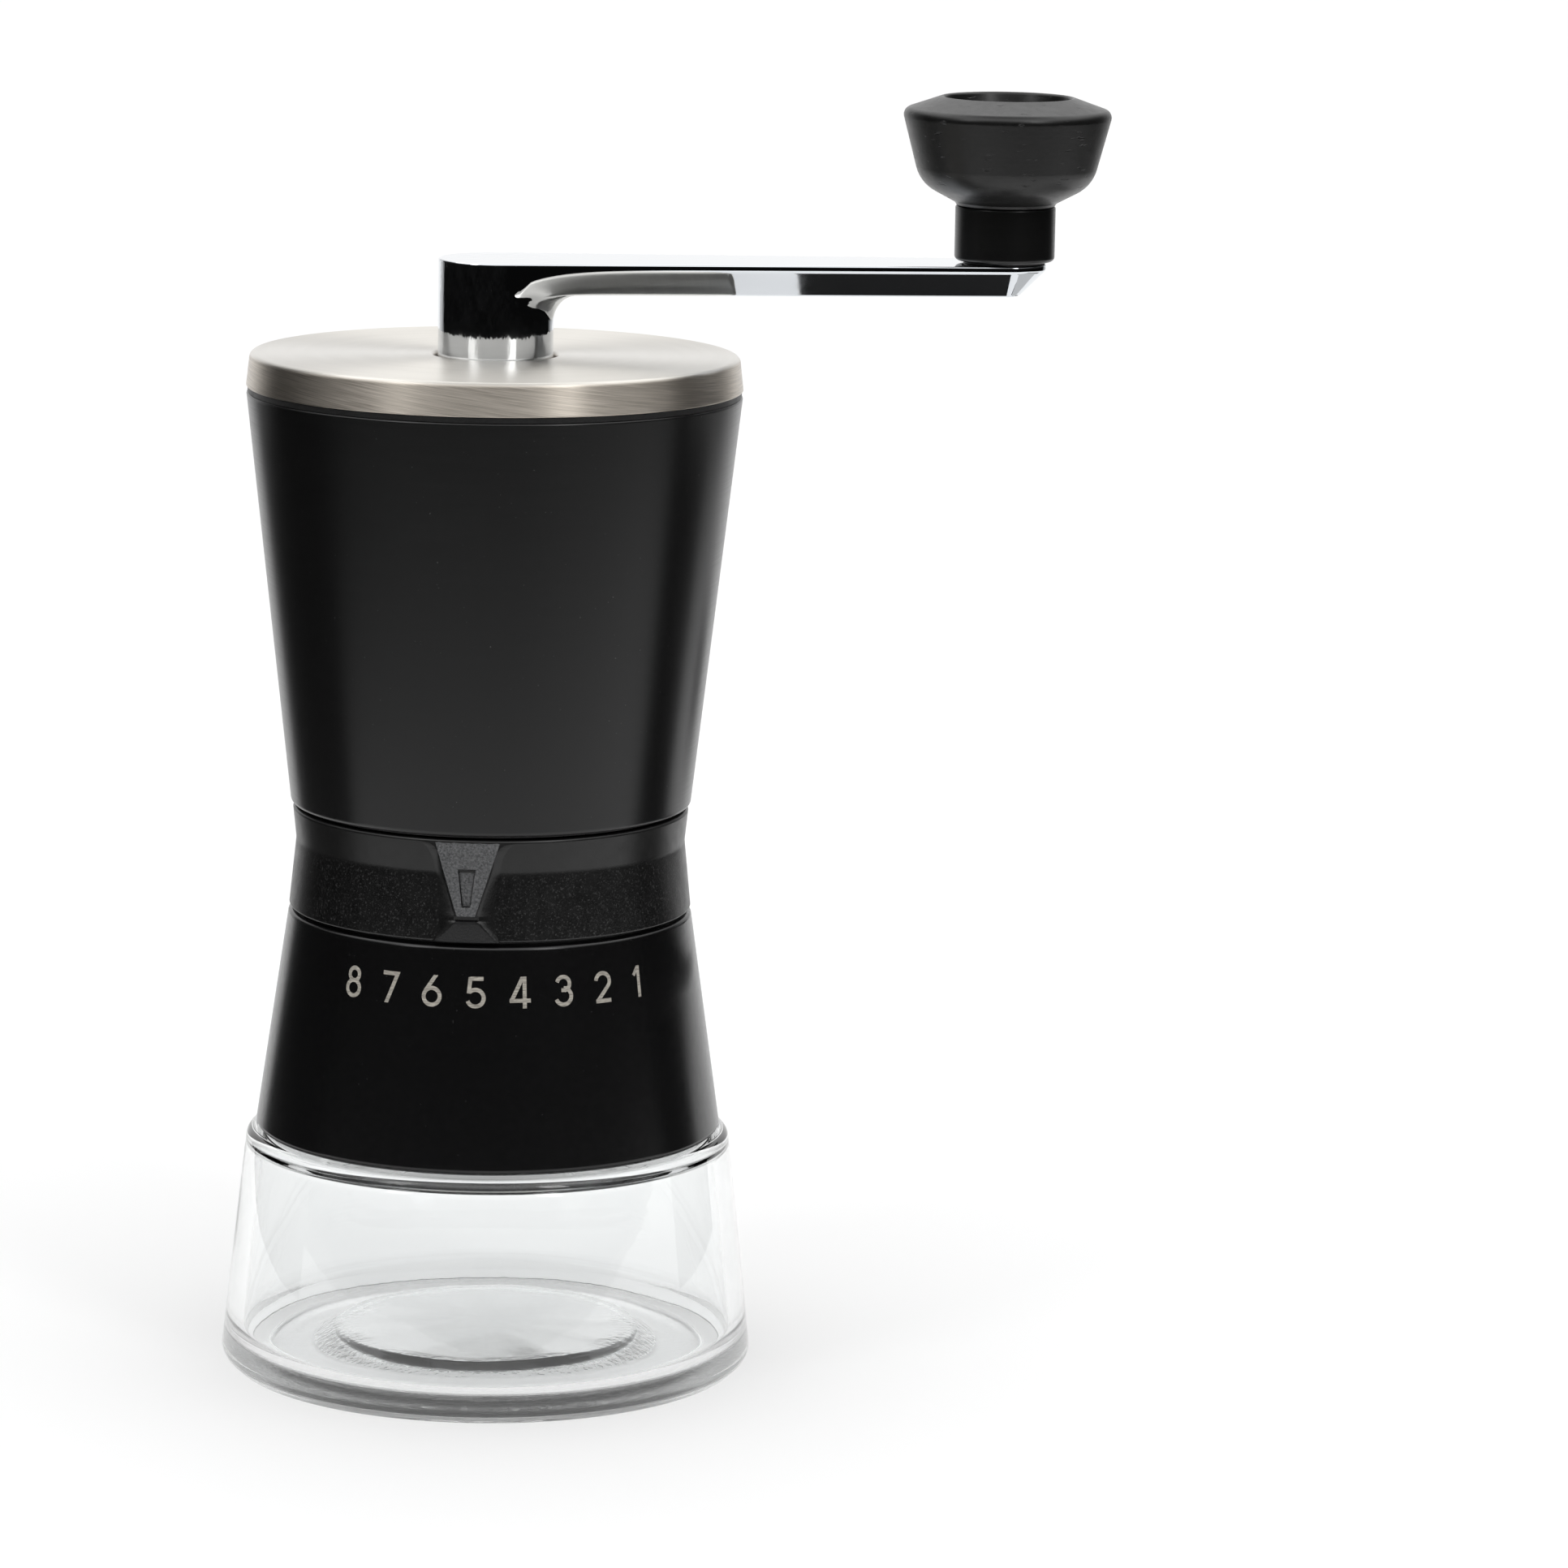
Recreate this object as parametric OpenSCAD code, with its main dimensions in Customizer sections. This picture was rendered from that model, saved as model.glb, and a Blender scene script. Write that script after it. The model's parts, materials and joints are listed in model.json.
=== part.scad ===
// Hand crank coffee grinder: a glass catch jar, a numbered skirt, a grind setting ring,
// a tapered bean hopper, a steel lid and a crank with a turned knob.
// Millimetres. The origin is the centre of the jar's foot, +Z is up, and the crank arm
// points along +X. The setting numbers face -Y.

/* [Jar] */
// Widest outer diameter of the glass
jar_d = 87; // [86:0.5:88]
// Outer diameter of the glass just under the skirt
jar_shoulder_d = 78.6; // [78:0.1:79]
// Height of the jar's mouth above the table
jar_h = 50.5; // [50:0.1:50.6]
// Thickness of the glass wall
jar_wall = 3; // [2.5:0.1:3.5]
// Outer diameter of the neck that screws into the collar
neck_d = 64.4; // [64:0.1:65]

/* [Skirt] */
// Height of the skirt's lower edge above the table
skirt_z = 39.5; // [39.2:0.1:39.8]
// Height of the skirt
skirt_h = 36.2; // [36:0.1:36.3]
// Outer diameter at the skirt's lower edge
skirt_bottom_d = 76.1; // [75.6:0.1:76.6]
// Outer diameter at the skirt's upper edge
skirt_top_d = 65.5; // [65.3:0.1:65.9]
// Thickness of the pressed metal shells
shell_wall = 1; // [0.9:0.05:1]

/* [Setting ring] */
// Height of the setting ring
ring_h = 16.4; // [16.3:0.1:16.5]
// Diameter at the ring's waist
ring_waist_d = 63.2; // [63:0.1:63.6]
// Diameter at the ring's lower edge
ring_d = 65.4; // [65:0.1:65.8]
// Angle of the pointer from -Y, positive towards +X
pointer_angle = -9; // [-15:3:15]
// Angle between two setting numbers
number_step = 12; // [10:1:12]
// Clicks between two setting numbers
clicks_per_number = 4; // [2:1:4]

/* [Hopper] */
// Height of the hopper shell
hopper_h = 66.85; // [66:0.05:67.5]
// Outer diameter at the hopper's mouth
hopper_top_d = 79.9; // [79.5:0.1:80]
// Outer diameter at the hopper's lower edge
hopper_bottom_d = 64.9; // [64.7:0.1:65.1]

/* [Lid] */
// Largest diameter of the steel cover
lid_d = 80; // [79.8:0.1:80.2]
// Height of the steel cover
lid_h = 5.35; // [5.2:0.05:5.5]
// Diameter of the hole for the crank's hub
lid_hole_d = 19.8; // [19.6:0.1:20]

/* [Crank] */
// Distance from the shaft to the knob's axis
crank_l = 82; // [70:1:90]
// Diameter of the crank's hub
hub_d = 18.6; // [18:0.1:18.6]
// Height of the arm's top above the lid's top
arm_rise = 15.35; // [14:0.05:20]
// Thickness of the arm
arm_t = 5.4; // [4.4:0.1:5.6]
// Width of the arm's rounded tip
arm_tip_w = 13.6; // [11:0.2:14]

/* [Knob] */
// Largest diameter of the knob
knob_d = 33.4; // [32:0.2:36]
// Diameter of the knob's neck
neck_sleeve_d = 16.2; // [15.6:0.1:16.4]
// Height of the knob's neck
neck_sleeve_h = 8.9; // [8.5:0.1:9.5]
// Height of the knob's wooden bowl
knob_h = 17.6; // [17:0.1:19]

/* [Drive] */
// Diameter of the drive shaft
shaft_d = 7; // [6.9:0.1:7]
// Width across the flats of the shaft's hexagon
hex_af = 6; // [5.8:0.1:6]
// Diameter of the inner burr's lower edge
burr_d = 31; // [30:0.5:31]
// Number of teeth cut in each burr's lower zone
burr_teeth = 20; // [12:2:24]

/* [Hidden] */
$fn = 96;

// Running clearance on a radius, and the air left round parts that only pass each other
run = 0.05;
air = 0.3;
// Overshoot of every cutting tool
over = 1;

// Heights of the parts' edges above the table
skirt_top_z = skirt_z + skirt_h;
ring_z = skirt_top_z + 0.6;
ring_top_z = ring_z + ring_h;
liner_z = ring_top_z + air;
hopper_z = ring_top_z + 0.5;
hopper_top_z = hopper_z + hopper_h;
lid_z = hopper_top_z + 0.95;
lid_top_z = lid_z + lid_h;
arm_top_z = lid_top_z + arm_rise;
arm_z = arm_top_z - arm_t;
pin_z = arm_z + 3;
knob_neck_z = arm_top_z + 0.4;
washer_top_z = arm_top_z + 1.05;
neck_recess_z = washer_top_z + 0.25;
bowl_z = knob_neck_z + neck_sleeve_h;
bowl_top_z = bowl_z + knob_h;

// The burrs, their carrier and the tube round them
burr_z = 60;
burr_h = 22;
burr_r = burr_d / 2;
burr_top_r = 8.5;
burr_slope = (burr_r - burr_top_r) / burr_h;
burr_gap = 0.4;
burr_bore_r = 6.05;
outer_burr_h = 18;
outer_burr_r = 20.5;
carrier_r = 27 - run;
carrier_h = 27.5;
tube_r_in = 27;
tube_r_out = 29.25;
tube_z = 55;
flange_t = 3;

// The setting ring's bore, keys and clicks
ring_bore_r = tube_r_out + run;
key_w = 6;
key_z = ring_z + 6.7;
key_h = 4;
key_tip_r = 24;
key_seat_r = 30.6;
grade_min = -33;
grade_max = 51;
click_step = number_step / clicks_per_number;
click_r = 30.35;
ball_r = 0.9;
front = -90;
pointer_az = front + pointer_angle;
key_az = pointer_az + 60;

// The shaft's stations
shaft_r = shaft_d / 2;
square_w = 4.9;
square_z = 58.7;
round_z = burr_z + 20;
bush_z = 86.5;
bush_r = 5;
boss_r = 7.5;
bridge_z = 137;
bridge_boss_z = 134;
upper_bush_top = 146;
clip_z = 147.3;
clip_t = 0.8;
collar_z = 149;
hex_z = 151;
hex_top_z = 171;

// Screws
screw_r = 1.35;
pilot_r = 1.4;
head_r = 2.3;
head_h = 1.5;
collar_screw_r = 30.6;
hopper_screw_r = 23.5;
retainer_screw_r = 23.3;
arm_az = 60;

// Outer radius of the hopper and the skirt at a height
hopper_taper = (hopper_top_d - hopper_bottom_d) / 2 / hopper_h;
function hopper_r(z) = hopper_top_d / 2 - (hopper_top_z - z) * hopper_taper;
skirt_taper = (skirt_bottom_d - skirt_top_d) / 2 / skirt_h;
function skirt_r(z) = skirt_bottom_d / 2 - (z - skirt_z) * skirt_taper;
liner_gap = shell_wall + run;
liner_t = 1.4;
function liner_r(z) = hopper_r(z) - liner_gap;

// Points of an arc round a centre, from angle a to angle b in n steps
function arc(c, r, a, b, n) =
    [for (i = [0 : n]) c + r * [cos(a + (b - a) * i / n), sin(a + (b - a) * i / n)]];

// Outline of a bar that starts w wide to each side of the origin and ends round, of radius r at x = l
function bar_outline(w, r, l, n) =
    let (lean = acos((w - r) / l))
    concat([[0, w], [0, -w]], arc([l, 0], r, -lean, lean, n));

// A solid of revolution from its half section
module turned(points) {
    rotate_extrude() polygon(points);
}

// A plain ring between two heights
module tube(r_out, r_in, z0, z1) {
    difference() {
        translate([0, 0, z0]) cylinder(r = r_out, h = z1 - z0);
        translate([0, 0, z0 - over]) cylinder(r = r_in, h = z1 - z0 + 2 * over);
    }
}

// A rod between two heights
module rod(r, z0, z1) {
    translate([0, 0, z0]) cylinder(r = r, h = z1 - z0);
}

// Copies turned evenly round the axis
module around(n, first = 0) {
    for (i = [0 : n - 1]) rotate([0, 0, first + i * 360 / n]) children();
}

// A wedge between two angles and two heights
module wedge(r, a, b, z0, z1) {
    steps = 8;
    translate([0, 0, z0]) linear_extrude(z1 - z0)
        polygon(concat([[0, 0]], arc([0, 0], r, a, b, steps)));
}

// A bar with flat sides that runs outwards along X
module spoke(r0, r1, w, z0, z1) {
    translate([r0, -w / 2, z0]) cube([r1 - r0, w, z1 - z0]);
}

// A coil of round wire with closed ends
module coil(r, wire_r, z0, z1, turns, steps) {
    sides = 8;
    rings = turns * steps;
    rise = (z1 - z0 - 2 * wire_r) / rings;
    points = [
        for (i = [0 : rings]) for (j = [0 : sides - 1])
            let (a = 360 * i / steps, b = 360 * j / sides, d = r + wire_r * cos(b))
            [d * cos(a), d * sin(a), z0 + wire_r + i * rise + wire_r * sin(b)]
    ];
    walls = [
        for (i = [0 : rings - 1]) for (j = [0 : sides - 1])
            let (k = (j + 1) % sides)
            [i * sides + j, i * sides + k, (i + 1) * sides + k, (i + 1) * sides + j]
    ];
    first_end = [[for (j = [0 : sides - 1]) sides - 1 - j]];
    last_end = [[for (j = [0 : sides - 1]) rings * sides + j]];
    polyhedron(points, concat(walls, first_end, last_end));
}

// A pan head screw that points up, with its head's lower face at z = 0
module screw(shank_h) {
    cylinder(r = head_r, h = head_h);
    translate([0, 0, head_h - 0.1]) cylinder(r = screw_r, h = shank_h + 0.1);
}

// Thick glass jar with a raised floor, a rounded heel and a straight neck
module glass_jar() {
    heel_r = 5.5;
    foot_in_r = 35.5;
    side_top_z = skirt_z - 3.2;
    shoulder_r = 2;
    neck_r = neck_d / 2;
    lip_r = 1.2;
    side_low = [jar_d / 2, heel_r + 0.8];
    side_top = [jar_shoulder_d / 2, side_top_z];
    side_dir = (side_top - side_low) / norm(side_top - side_low);
    normal = [side_dir[1], -side_dir[0]];
    heel_x = (normal * side_top - heel_r * (1 + normal[1])) / normal[0];
    lean = atan2(normal[1], normal[0]);
    floor_z = 6;
    inner_r = 4;
    inner_x = heel_x + heel_r - jar_wall - inner_r + 0.3;
    color("azure", 0.4)
        turned(concat(
            [[0, 2.6], [22, 2.2], [foot_in_r - 2, 0.8], [foot_in_r, 0]],
            arc([heel_x, heel_r], heel_r, -90, lean, 8),
            arc(side_top - shoulder_r * normal, shoulder_r, lean, 90, 5),
            [[neck_r, side_top_z + shoulder_r - 0.2]],
            [[neck_r, jar_h - lip_r]],
            arc([neck_r - lip_r, jar_h - lip_r], lip_r, 0, 90, 3),
            arc([neck_r - jar_wall + 0.8, jar_h - 0.8], 0.8, 90, 180, 3),
            [[neck_r - jar_wall, side_top_z - 0.5]],
            arc(side_top - [jar_wall + 3, 2.2], 2.6, 75, lean, 4),
            arc([inner_x, floor_z + inner_r], inner_r, lean, -90, 6),
            [[25, floor_z + 0.3], [22, floor_z + 2.2], [18, floor_z + 3], [0, floor_z + 3.4]]
        ));
}

// Flat silicone ring between the jar's mouth and the collar
module jar_seal() {
    color("dimgray") tube(33.2, 28.9, jar_h + run, jar_h + 1.5);
}

// Black metal skirt that carries the setting numbers
module numbered_skirt() {
    edge_r = 0.9;
    low_r = skirt_r(skirt_z + edge_r);
    top_r = skirt_r(skirt_top_z - edge_r);
    color("black")
        turned(concat(
            arc([low_r - edge_r, skirt_z + edge_r], edge_r, -90, 0, 4),
            arc([top_r - edge_r, skirt_top_z - edge_r], edge_r, 0, 90, 4),
            [[top_r - shell_wall - 0.05, skirt_top_z]],
            [[low_r - shell_wall, skirt_z + edge_r]],
            [[low_r - shell_wall, skirt_z]]
        ));
}

// Plastic collar whose bore takes the jar's neck
module jar_collar() {
    z0 = skirt_z + 1.5;
    shelf_z = jar_h + 1.6;
    bore = neck_d / 2 + 1.3;
    function outer(z) = skirt_r(z) - shell_wall - run;
    color("black") difference() {
        turned([
            [bore, z0], [outer(z0), z0], [outer(tube_z), tube_z],
            [27.6, tube_z], [27.6, shelf_z], [bore, shelf_z]
        ]);
        around(3) translate([collar_screw_r, 0, 0]) {
            rod(1.6, shelf_z - over, tube_z + over);
            rod(head_r + 0.1, shelf_z - over, shelf_z + head_h + 0.1);
        }
    }
}

// Screws that join the collar to the chassis
module collar_screws() {
    color("silver") around(3)
        translate([collar_screw_r, 0, jar_h + 1.65]) screw(8);
}

// Tube with a foot flange, a bearing shoulder, windows for the keys and a three-armed bridge
module chassis() {
    shoulder_z = ring_z - 0.1;
    shoulder_out = 31.5;
    arm_low = 89.5;
    window_margin = 8;
    color("black") difference() {
        union() {
            turned([
                [tube_r_in, tube_z], [skirt_r(tube_z) - shell_wall - 0.2, tube_z],
                [skirt_r(tube_z + flange_t) - shell_wall - 0.2, tube_z + flange_t],
                [tube_r_out, tube_z + flange_t], [tube_r_out, shoulder_z - 9],
                [shoulder_out, shoulder_z - 6], [shoulder_out, shoulder_z],
                [tube_r_out, shoulder_z], [tube_r_out, liner_z], [tube_r_in, liner_z]
            ]);
            around(3) translate([collar_screw_r, 0, 0]) rod(2.6, tube_z + 1, tube_z + 11);
            around(3, arm_az) spoke(bush_r + 1, tube_r_in + 1, 6, arm_low, liner_z);
            around(3, arm_az) translate([hopper_screw_r, 0, 0]) rod(3.6, arm_low, liner_z);
            rod(boss_r, bush_z, liner_z);
        }
        rod(bush_r + run, bush_z - over, liner_z + over);
        around(3) translate([collar_screw_r, 0, 0]) rod(pilot_r, tube_z - over, tube_z + 9);
        around(3, arm_az) translate([hopper_screw_r, 0, 0]) {
            rod(1.6, arm_low - over, liner_z + over);
            rod(head_r + 0.1, arm_low - over, arm_low + head_h + 0.1);
        }
        intersection() {
            tube(tube_r_out + 1, tube_r_in - 1, key_z - 0.5, key_z + key_h + 0.9);
            around(3, key_az)
                wedge(60, grade_min - window_margin, grade_max + window_margin,
                      key_z - over, key_z + key_h + 2 * over);
        }
        translate([0, click_r, 0]) rod(ball_r + run, shoulder_z - 5.6, shoulder_z + over);
    }
}

// Screws that join the chassis to the hopper's posts
module hopper_screws() {
    color("silver") around(3, arm_az) translate([hopper_screw_r, 0, 89.5 + run]) screw(8);
}

// Ball that clicks under the setting ring
module click_ball() {
    color("silver") translate([0, click_r, ring_z - 0.15 - ball_r]) sphere(r = ball_r);
}

// Spring under the ball
module click_spring() {
    color("silver") translate([0, click_r, 0])
        coil(0.62, 0.18, ring_z - 5.65, ring_z - 0.2 - 2 * ball_r, 5, 12);
}

// Tapered metal shell of the hopper
module hopper_shell() {
    low_edge = 1.2;
    low_r = hopper_r(hopper_z + low_edge);
    lip = 0.4;
    top_r = hopper_r(hopper_top_z);
    color([0.09, 0.09, 0.1])
        turned(concat(
            [[low_r - shell_wall, hopper_z]],
            arc([low_r - low_edge, hopper_z + low_edge], low_edge, -75, 0, 4),
            arc([top_r - lip, hopper_top_z - lip], lip, 0, 90, 3),
            [[top_r - shell_wall, hopper_top_z]],
            [[low_r - shell_wall, hopper_z + low_edge]]
        ));
}

// Plastic hopper with a ledge for the bridge, a funnel and screw posts
module hopper_liner() {
    rim_z = hopper_top_z - 0.45;
    ledge = 1.4;
    funnel_top = 121;
    throat_r = 16;
    throat_z = liner_z + 5;
    skin = 2;
    wall_low = liner_r(liner_z) - 1.6;
    color("black") difference() {
        union() {
            turned([
                [liner_r(liner_z), liner_z],
                [liner_r(rim_z), rim_z],
                [liner_r(rim_z) - liner_t, rim_z],
                [liner_r(bridge_z) - liner_t, bridge_z],
                [liner_r(bridge_z) - liner_t - ledge, bridge_z],
                [liner_r(funnel_top) - liner_t - ledge, funnel_top],
                [throat_r, throat_z],
                [throat_r, liner_z],
                [throat_r + skin, liner_z],
                [throat_r + skin, throat_z - 0.7],
                [wall_low - 0.2, 111.5],
                [wall_low, liner_z]
            ]);
            around(3, arm_az) translate([hopper_screw_r, 0, 0]) rod(3.6, liner_z, 107);
        }
        around(3, arm_az) translate([hopper_screw_r, 0, 0])
            rod(pilot_r, liner_z - over, liner_z + 7);
    }
}

// Three-armed bridge that steadies the shaft's upper end
module shaft_bridge() {
    rim_r = liner_r(bridge_z) - liner_t - 0.1;
    color([0.12, 0.12, 0.12]) difference() {
        union() {
            tube(rim_r, rim_r - 3.4, bridge_z, bridge_z + 3);
            around(3, arm_az) spoke(boss_r - 1, rim_r - 3, 5, bridge_z, bridge_z + 3);
            rod(boss_r, bridge_boss_z, upper_bush_top);
        }
        rod(bush_r + run, bridge_boss_z - over, upper_bush_top + over);
    }
}

// Flanged bush in the upper bridge
module upper_bush() {
    color("ivory") difference() {
        union() {
            rod(bush_r, bridge_boss_z, upper_bush_top + 0.1);
            rod(boss_r - 0.4, upper_bush_top, upper_bush_top + 0.9);
        }
        rod(shaft_r + run, bridge_boss_z - over, upper_bush_top + 2 * over);
    }
}

// Flanged bush in the chassis
module lower_bush() {
    color("ivory") difference() {
        union() {
            rod(bush_r, bush_z - 0.1, liner_z - 0.2);
            rod(boss_r - 0.7, bush_z - 0.6, bush_z);
        }
        rod(shaft_r + run, bush_z - 2 * over, liner_z + over);
    }
}

// Setting ring with a flared top, a raised pointer, key seats and click notches
module setting_ring() {
    waist_r = ring_waist_d / 2;
    low_r = ring_d / 2;
    lip_r = 32.15;
    waist_z = ring_z + 10.9;
    flare = (low_r - waist_r) / (waist_z - ring_z);
    notch = 0.9;
    color([0.13, 0.13, 0.13]) difference() {
        union() {
            turned([
                [ring_bore_r, ring_z],
                [low_r - 0.4, ring_z],
                [low_r, ring_z + 0.4],
                [waist_r + flare * 0.6, waist_z - 0.6],
                [waist_r, waist_z],
                [waist_r + 0.07, waist_z + 0.8],
                [lip_r - 0.15, ring_top_z - 2.4],
                [lip_r, ring_top_z - 1.2],
                [lip_r - 0.05, ring_top_z - 0.3],
                [lip_r - 0.3, ring_top_z],
                [ring_bore_r, ring_top_z]
            ]);
            pointer();
        }
        around(3, key_az)
            spoke(ring_bore_r - over, key_seat_r, key_w + 2 * run, key_z - run, key_z + key_h + run);
        for (a = [grade_min : click_step : grade_max])
            rotate([0, 0, -a]) translate([0, click_r, ring_z])
                rotate([0, 45, 0]) cube([notch, 1.6, notch], center = true);
    }
}

// Raised pointer on the ring: a tapered tongue over a flared foot, with a slot in it
module pointer() {
    top_z = ring_top_z - 0.2;
    tip_z = ring_z + 3.2;
    foot_z = ring_z + 0.1;
    mid_r = ring_bore_r + 1;
    outline = [[-5.6, top_z], [5.6, top_z], [1.8, tip_z], [4.4, foot_z], [-4.4, foot_z], [-1.8, tip_z]];
    slot = [[-1.4, ring_z + 10.8], [1.4, ring_z + 10.8], [0.75, ring_z + 5], [-0.75, ring_z + 5]];
    rotate([0, 0, pointer_az]) difference() {
        intersection() {
            turned([
                [mid_r, foot_z], [33.05, foot_z], [33.05, ring_z + 0.8],
                [33.5, tip_z], [32.75, top_z - 1], [32.5, top_z], [mid_r, top_z]
            ]);
            rotate([90, 0, 90]) linear_extrude(60) polygon(outline);
        }
        translate([32.5, 0, 0]) rotate([90, 0, 90]) linear_extrude(5) polygon(slot);
    }
}

// Keys that carry the ring's turn through the windows to the burr carrier
module ring_keys() {
    color("silver") around(3, key_az) spoke(key_tip_r, key_seat_r - run, key_w, key_z, key_z + key_h);
}

// Carrier that screws up and down in the chassis and holds the outer burr
module burr_carrier() {
    top_z = burr_z + carrier_h;
    pocket_top = burr_z + outer_burr_h + 0.2;
    color("dimgray") difference() {
        turned([
            [outer_burr_r + run, burr_z], [carrier_r, burr_z], [carrier_r, top_z],
            [22.5, top_z], [16.4, pocket_top + 2], [16.4, pocket_top],
            [outer_burr_r + run, pocket_top]
        ]);
        around(3, key_az)
            spoke(key_tip_r - 0.5, carrier_r + over, key_w + 2 * run, key_z - 1.5, top_z + over);
        around(3) translate([retainer_screw_r, 0, 0]) rod(pilot_r, burr_z - over, burr_z + 8);
    }
}

// Ceramic burr ring, narrowest a little above its lower edge
module outer_burr() {
    fine_h = 6;
    fine_top = burr_r - fine_h * burr_slope + burr_gap;
    low = burr_r + burr_gap;
    top = 15.4;
    tooth = 1;
    lean = atan(burr_slope);
    color("snow") difference() {
        turned([
            [low, burr_z], [outer_burr_r, burr_z], [outer_burr_r, burr_z + outer_burr_h],
            [top, burr_z + outer_burr_h], [fine_top, burr_z + fine_h]
        ]);
        around(burr_teeth) translate([low - 0.1, 0, burr_z]) rotate([20, -lean, 0])
            rotate([0, 0, 45]) cube([tooth, tooth, 2 * fine_h], center = true);
    }
}

// Steel ring that keeps the outer burr in its carrier
module burr_retainer() {
    color("silver") difference() {
        tube(25.5, 17.2, burr_z - 1.3, burr_z - run);
        around(3) translate([retainer_screw_r, 0, 0]) rod(1.6, burr_z - 2 * over, burr_z + over);
    }
}

// Screws of the retainer
module retainer_screws() {
    color("silver") around(3)
        translate([retainer_screw_r, 0, burr_z - 1.35 - head_h]) screw(7);
}

// Steel shaft: threaded end, square for the burr, round journal, clip groove, stop and hexagon
module drive_shaft() {
    color("silver") difference() {
        union() {
            rod(2.45, 53, square_z + over);
            translate([-square_w / 2, -square_w / 2, square_z])
                cube([square_w, square_w, round_z - square_z + over]);
            rod(shaft_r, round_z, collar_z + over);
            rod(5.5, collar_z, hex_z);
            translate([0, 0, hex_z - 0.1])
                cylinder(d = hex_af / cos(30), h = hex_top_z - hex_z + 0.1, $fn = 6);
        }
        tube(shaft_r + over, shaft_r - 0.6, clip_z, clip_z + clip_t);
    }
}

// Ceramic cone with coarse flutes above and fine teeth below
module inner_burr() {
    lean = atan(burr_slope);
    flute_r = 2.1;
    tooth = 1;
    color("snow") difference() {
        translate([0, 0, burr_z]) cylinder(r1 = burr_r, r2 = burr_top_r, h = burr_h);
        rod(burr_bore_r, burr_z - over, burr_z + burr_h + over);
        around(2) spoke(burr_bore_r - over, 7.65, 3.1, burr_z - over, burr_z + burr_h - 4);
        around(8) translate([burr_top_r + 2.8, 0, burr_z + burr_h - 4.5]) rotate([28, -lean, 0])
            cylinder(r = flute_r, h = 24, center = true, $fn = 32);
        around(burr_teeth) translate([burr_r, 0, burr_z]) rotate([20, -lean, 0])
            rotate([0, 0, 45]) cube([tooth, tooth, 12], center = true);
    }
}

// Plastic hub that turns the inner burr with the shaft's square
module burr_driver() {
    hole = square_w + 2 * run;
    color([0.2, 0.2, 0.2]) difference() {
        union() {
            rod(9, burr_z - 1.2, burr_z - run);
            rod(burr_bore_r - run, burr_z - 0.2, burr_z + burr_h - 1);
            around(2) spoke(burr_bore_r - over, 7.55, 3, burr_z - 0.2, burr_z + burr_h - 4.1);
        }
        translate([-hole / 2, -hole / 2, burr_z - 2 * over])
            cube([hole, hole, round_z - burr_z + 2 * over]);
        rod(shaft_r + run, round_z - run, burr_z + burr_h + over);
    }
}

// Washer under the driver
module burr_washer() {
    color("silver") tube(7, 2.6, square_z - 1.1, square_z - run);
}

// Nut that holds the inner burr on the shaft
module burr_nut() {
    color("silver") difference() {
        translate([0, 0, square_z - 5]) cylinder(d = 8 / cos(30), h = 3.8, $fn = 6);
        rod(2.5, square_z - 6, square_z);
    }
}

// Spring between the inner burr and the thrust washer
module burr_spring() {
    color("silver") coil(5.2, 0.4, burr_z + burr_h + run, bush_z - 1.35, 3, 24);
}

// Washer that runs against the lower bush
module thrust_washer() {
    color("silver") tube(6.6, shaft_r + 0.1, bush_z - 1.3, bush_z - 0.65);
}

// Open clip in the shaft's groove, which hangs the shaft on the upper bush
module shaft_clip() {
    color("silver") difference() {
        tube(5.6, shaft_r - 0.55, clip_z + run, clip_z + clip_t - run);
        spoke(0, 8, 3.4, clip_z - over, clip_z + 2 * over);
    }
}

// Polished crank: a hub with a flat arm whose sides slope in underneath
module crank_arm() {
    edge = 0.9;
    slope_in = 4.4;
    hub_r = hub_d / 2;
    root_w = hub_r - 0.4;
    tip_r = arm_tip_w / 2;
    fillet = 4.5;
    fillet_w = 4;
    steps = 16;
    color("gainsboro") difference() {
        union() {
            rod(hub_r, hex_z + 0.1, arm_top_z);
            hull() {
                translate([0, 0, arm_top_z - edge]) linear_extrude(edge)
                    polygon(bar_outline(root_w, tip_r, crank_l, steps));
                translate([0, 0, arm_z]) linear_extrude(edge)
                    polygon(bar_outline(root_w - slope_in, tip_r - slope_in, crank_l, steps));
            }
            difference() {
                translate([0, -fillet_w, arm_z - fillet])
                    cube([hub_r + fillet - 1, 2 * fillet_w, fillet + 0.5]);
                translate([hub_r + fillet - 0.5, 0, arm_z - fillet]) rotate([90, 0, 0])
                    cylinder(r = fillet, h = 20, center = true);
            }
        }
        rod(6.5, hex_z, hex_top_z + 1.2);
        translate([crank_l, 0, 0]) rod(shaft_r + run, pin_z, arm_top_z + over);
    }
}

// Insert in the hub with the hexagon socket
module hub_socket() {
    color([0.15, 0.15, 0.15]) difference() {
        rod(6.5 - run, hex_z + 0.1, hex_top_z + 1);
        translate([0, 0, hex_z - over])
            cylinder(d = (hex_af + 2 * run) / cos(30), h = hex_top_z - hex_z + over + 0.3, $fn = 6);
    }
}

// Pin pressed into the arm, on which the knob turns
module knob_pin() {
    color("silver") translate([crank_l, 0, 0]) difference() {
        rod(shaft_r, pin_z + run, bowl_z + 5.6);
        rod(2, bowl_z - 1, bowl_z + 7);
    }
}

// Washer between the arm and the knob
module knob_washer() {
    color([0.2, 0.2, 0.2]) translate([crank_l, 0, 0])
        tube(6.6, shaft_r + 0.1, arm_top_z + run, washer_top_z);
}

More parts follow.
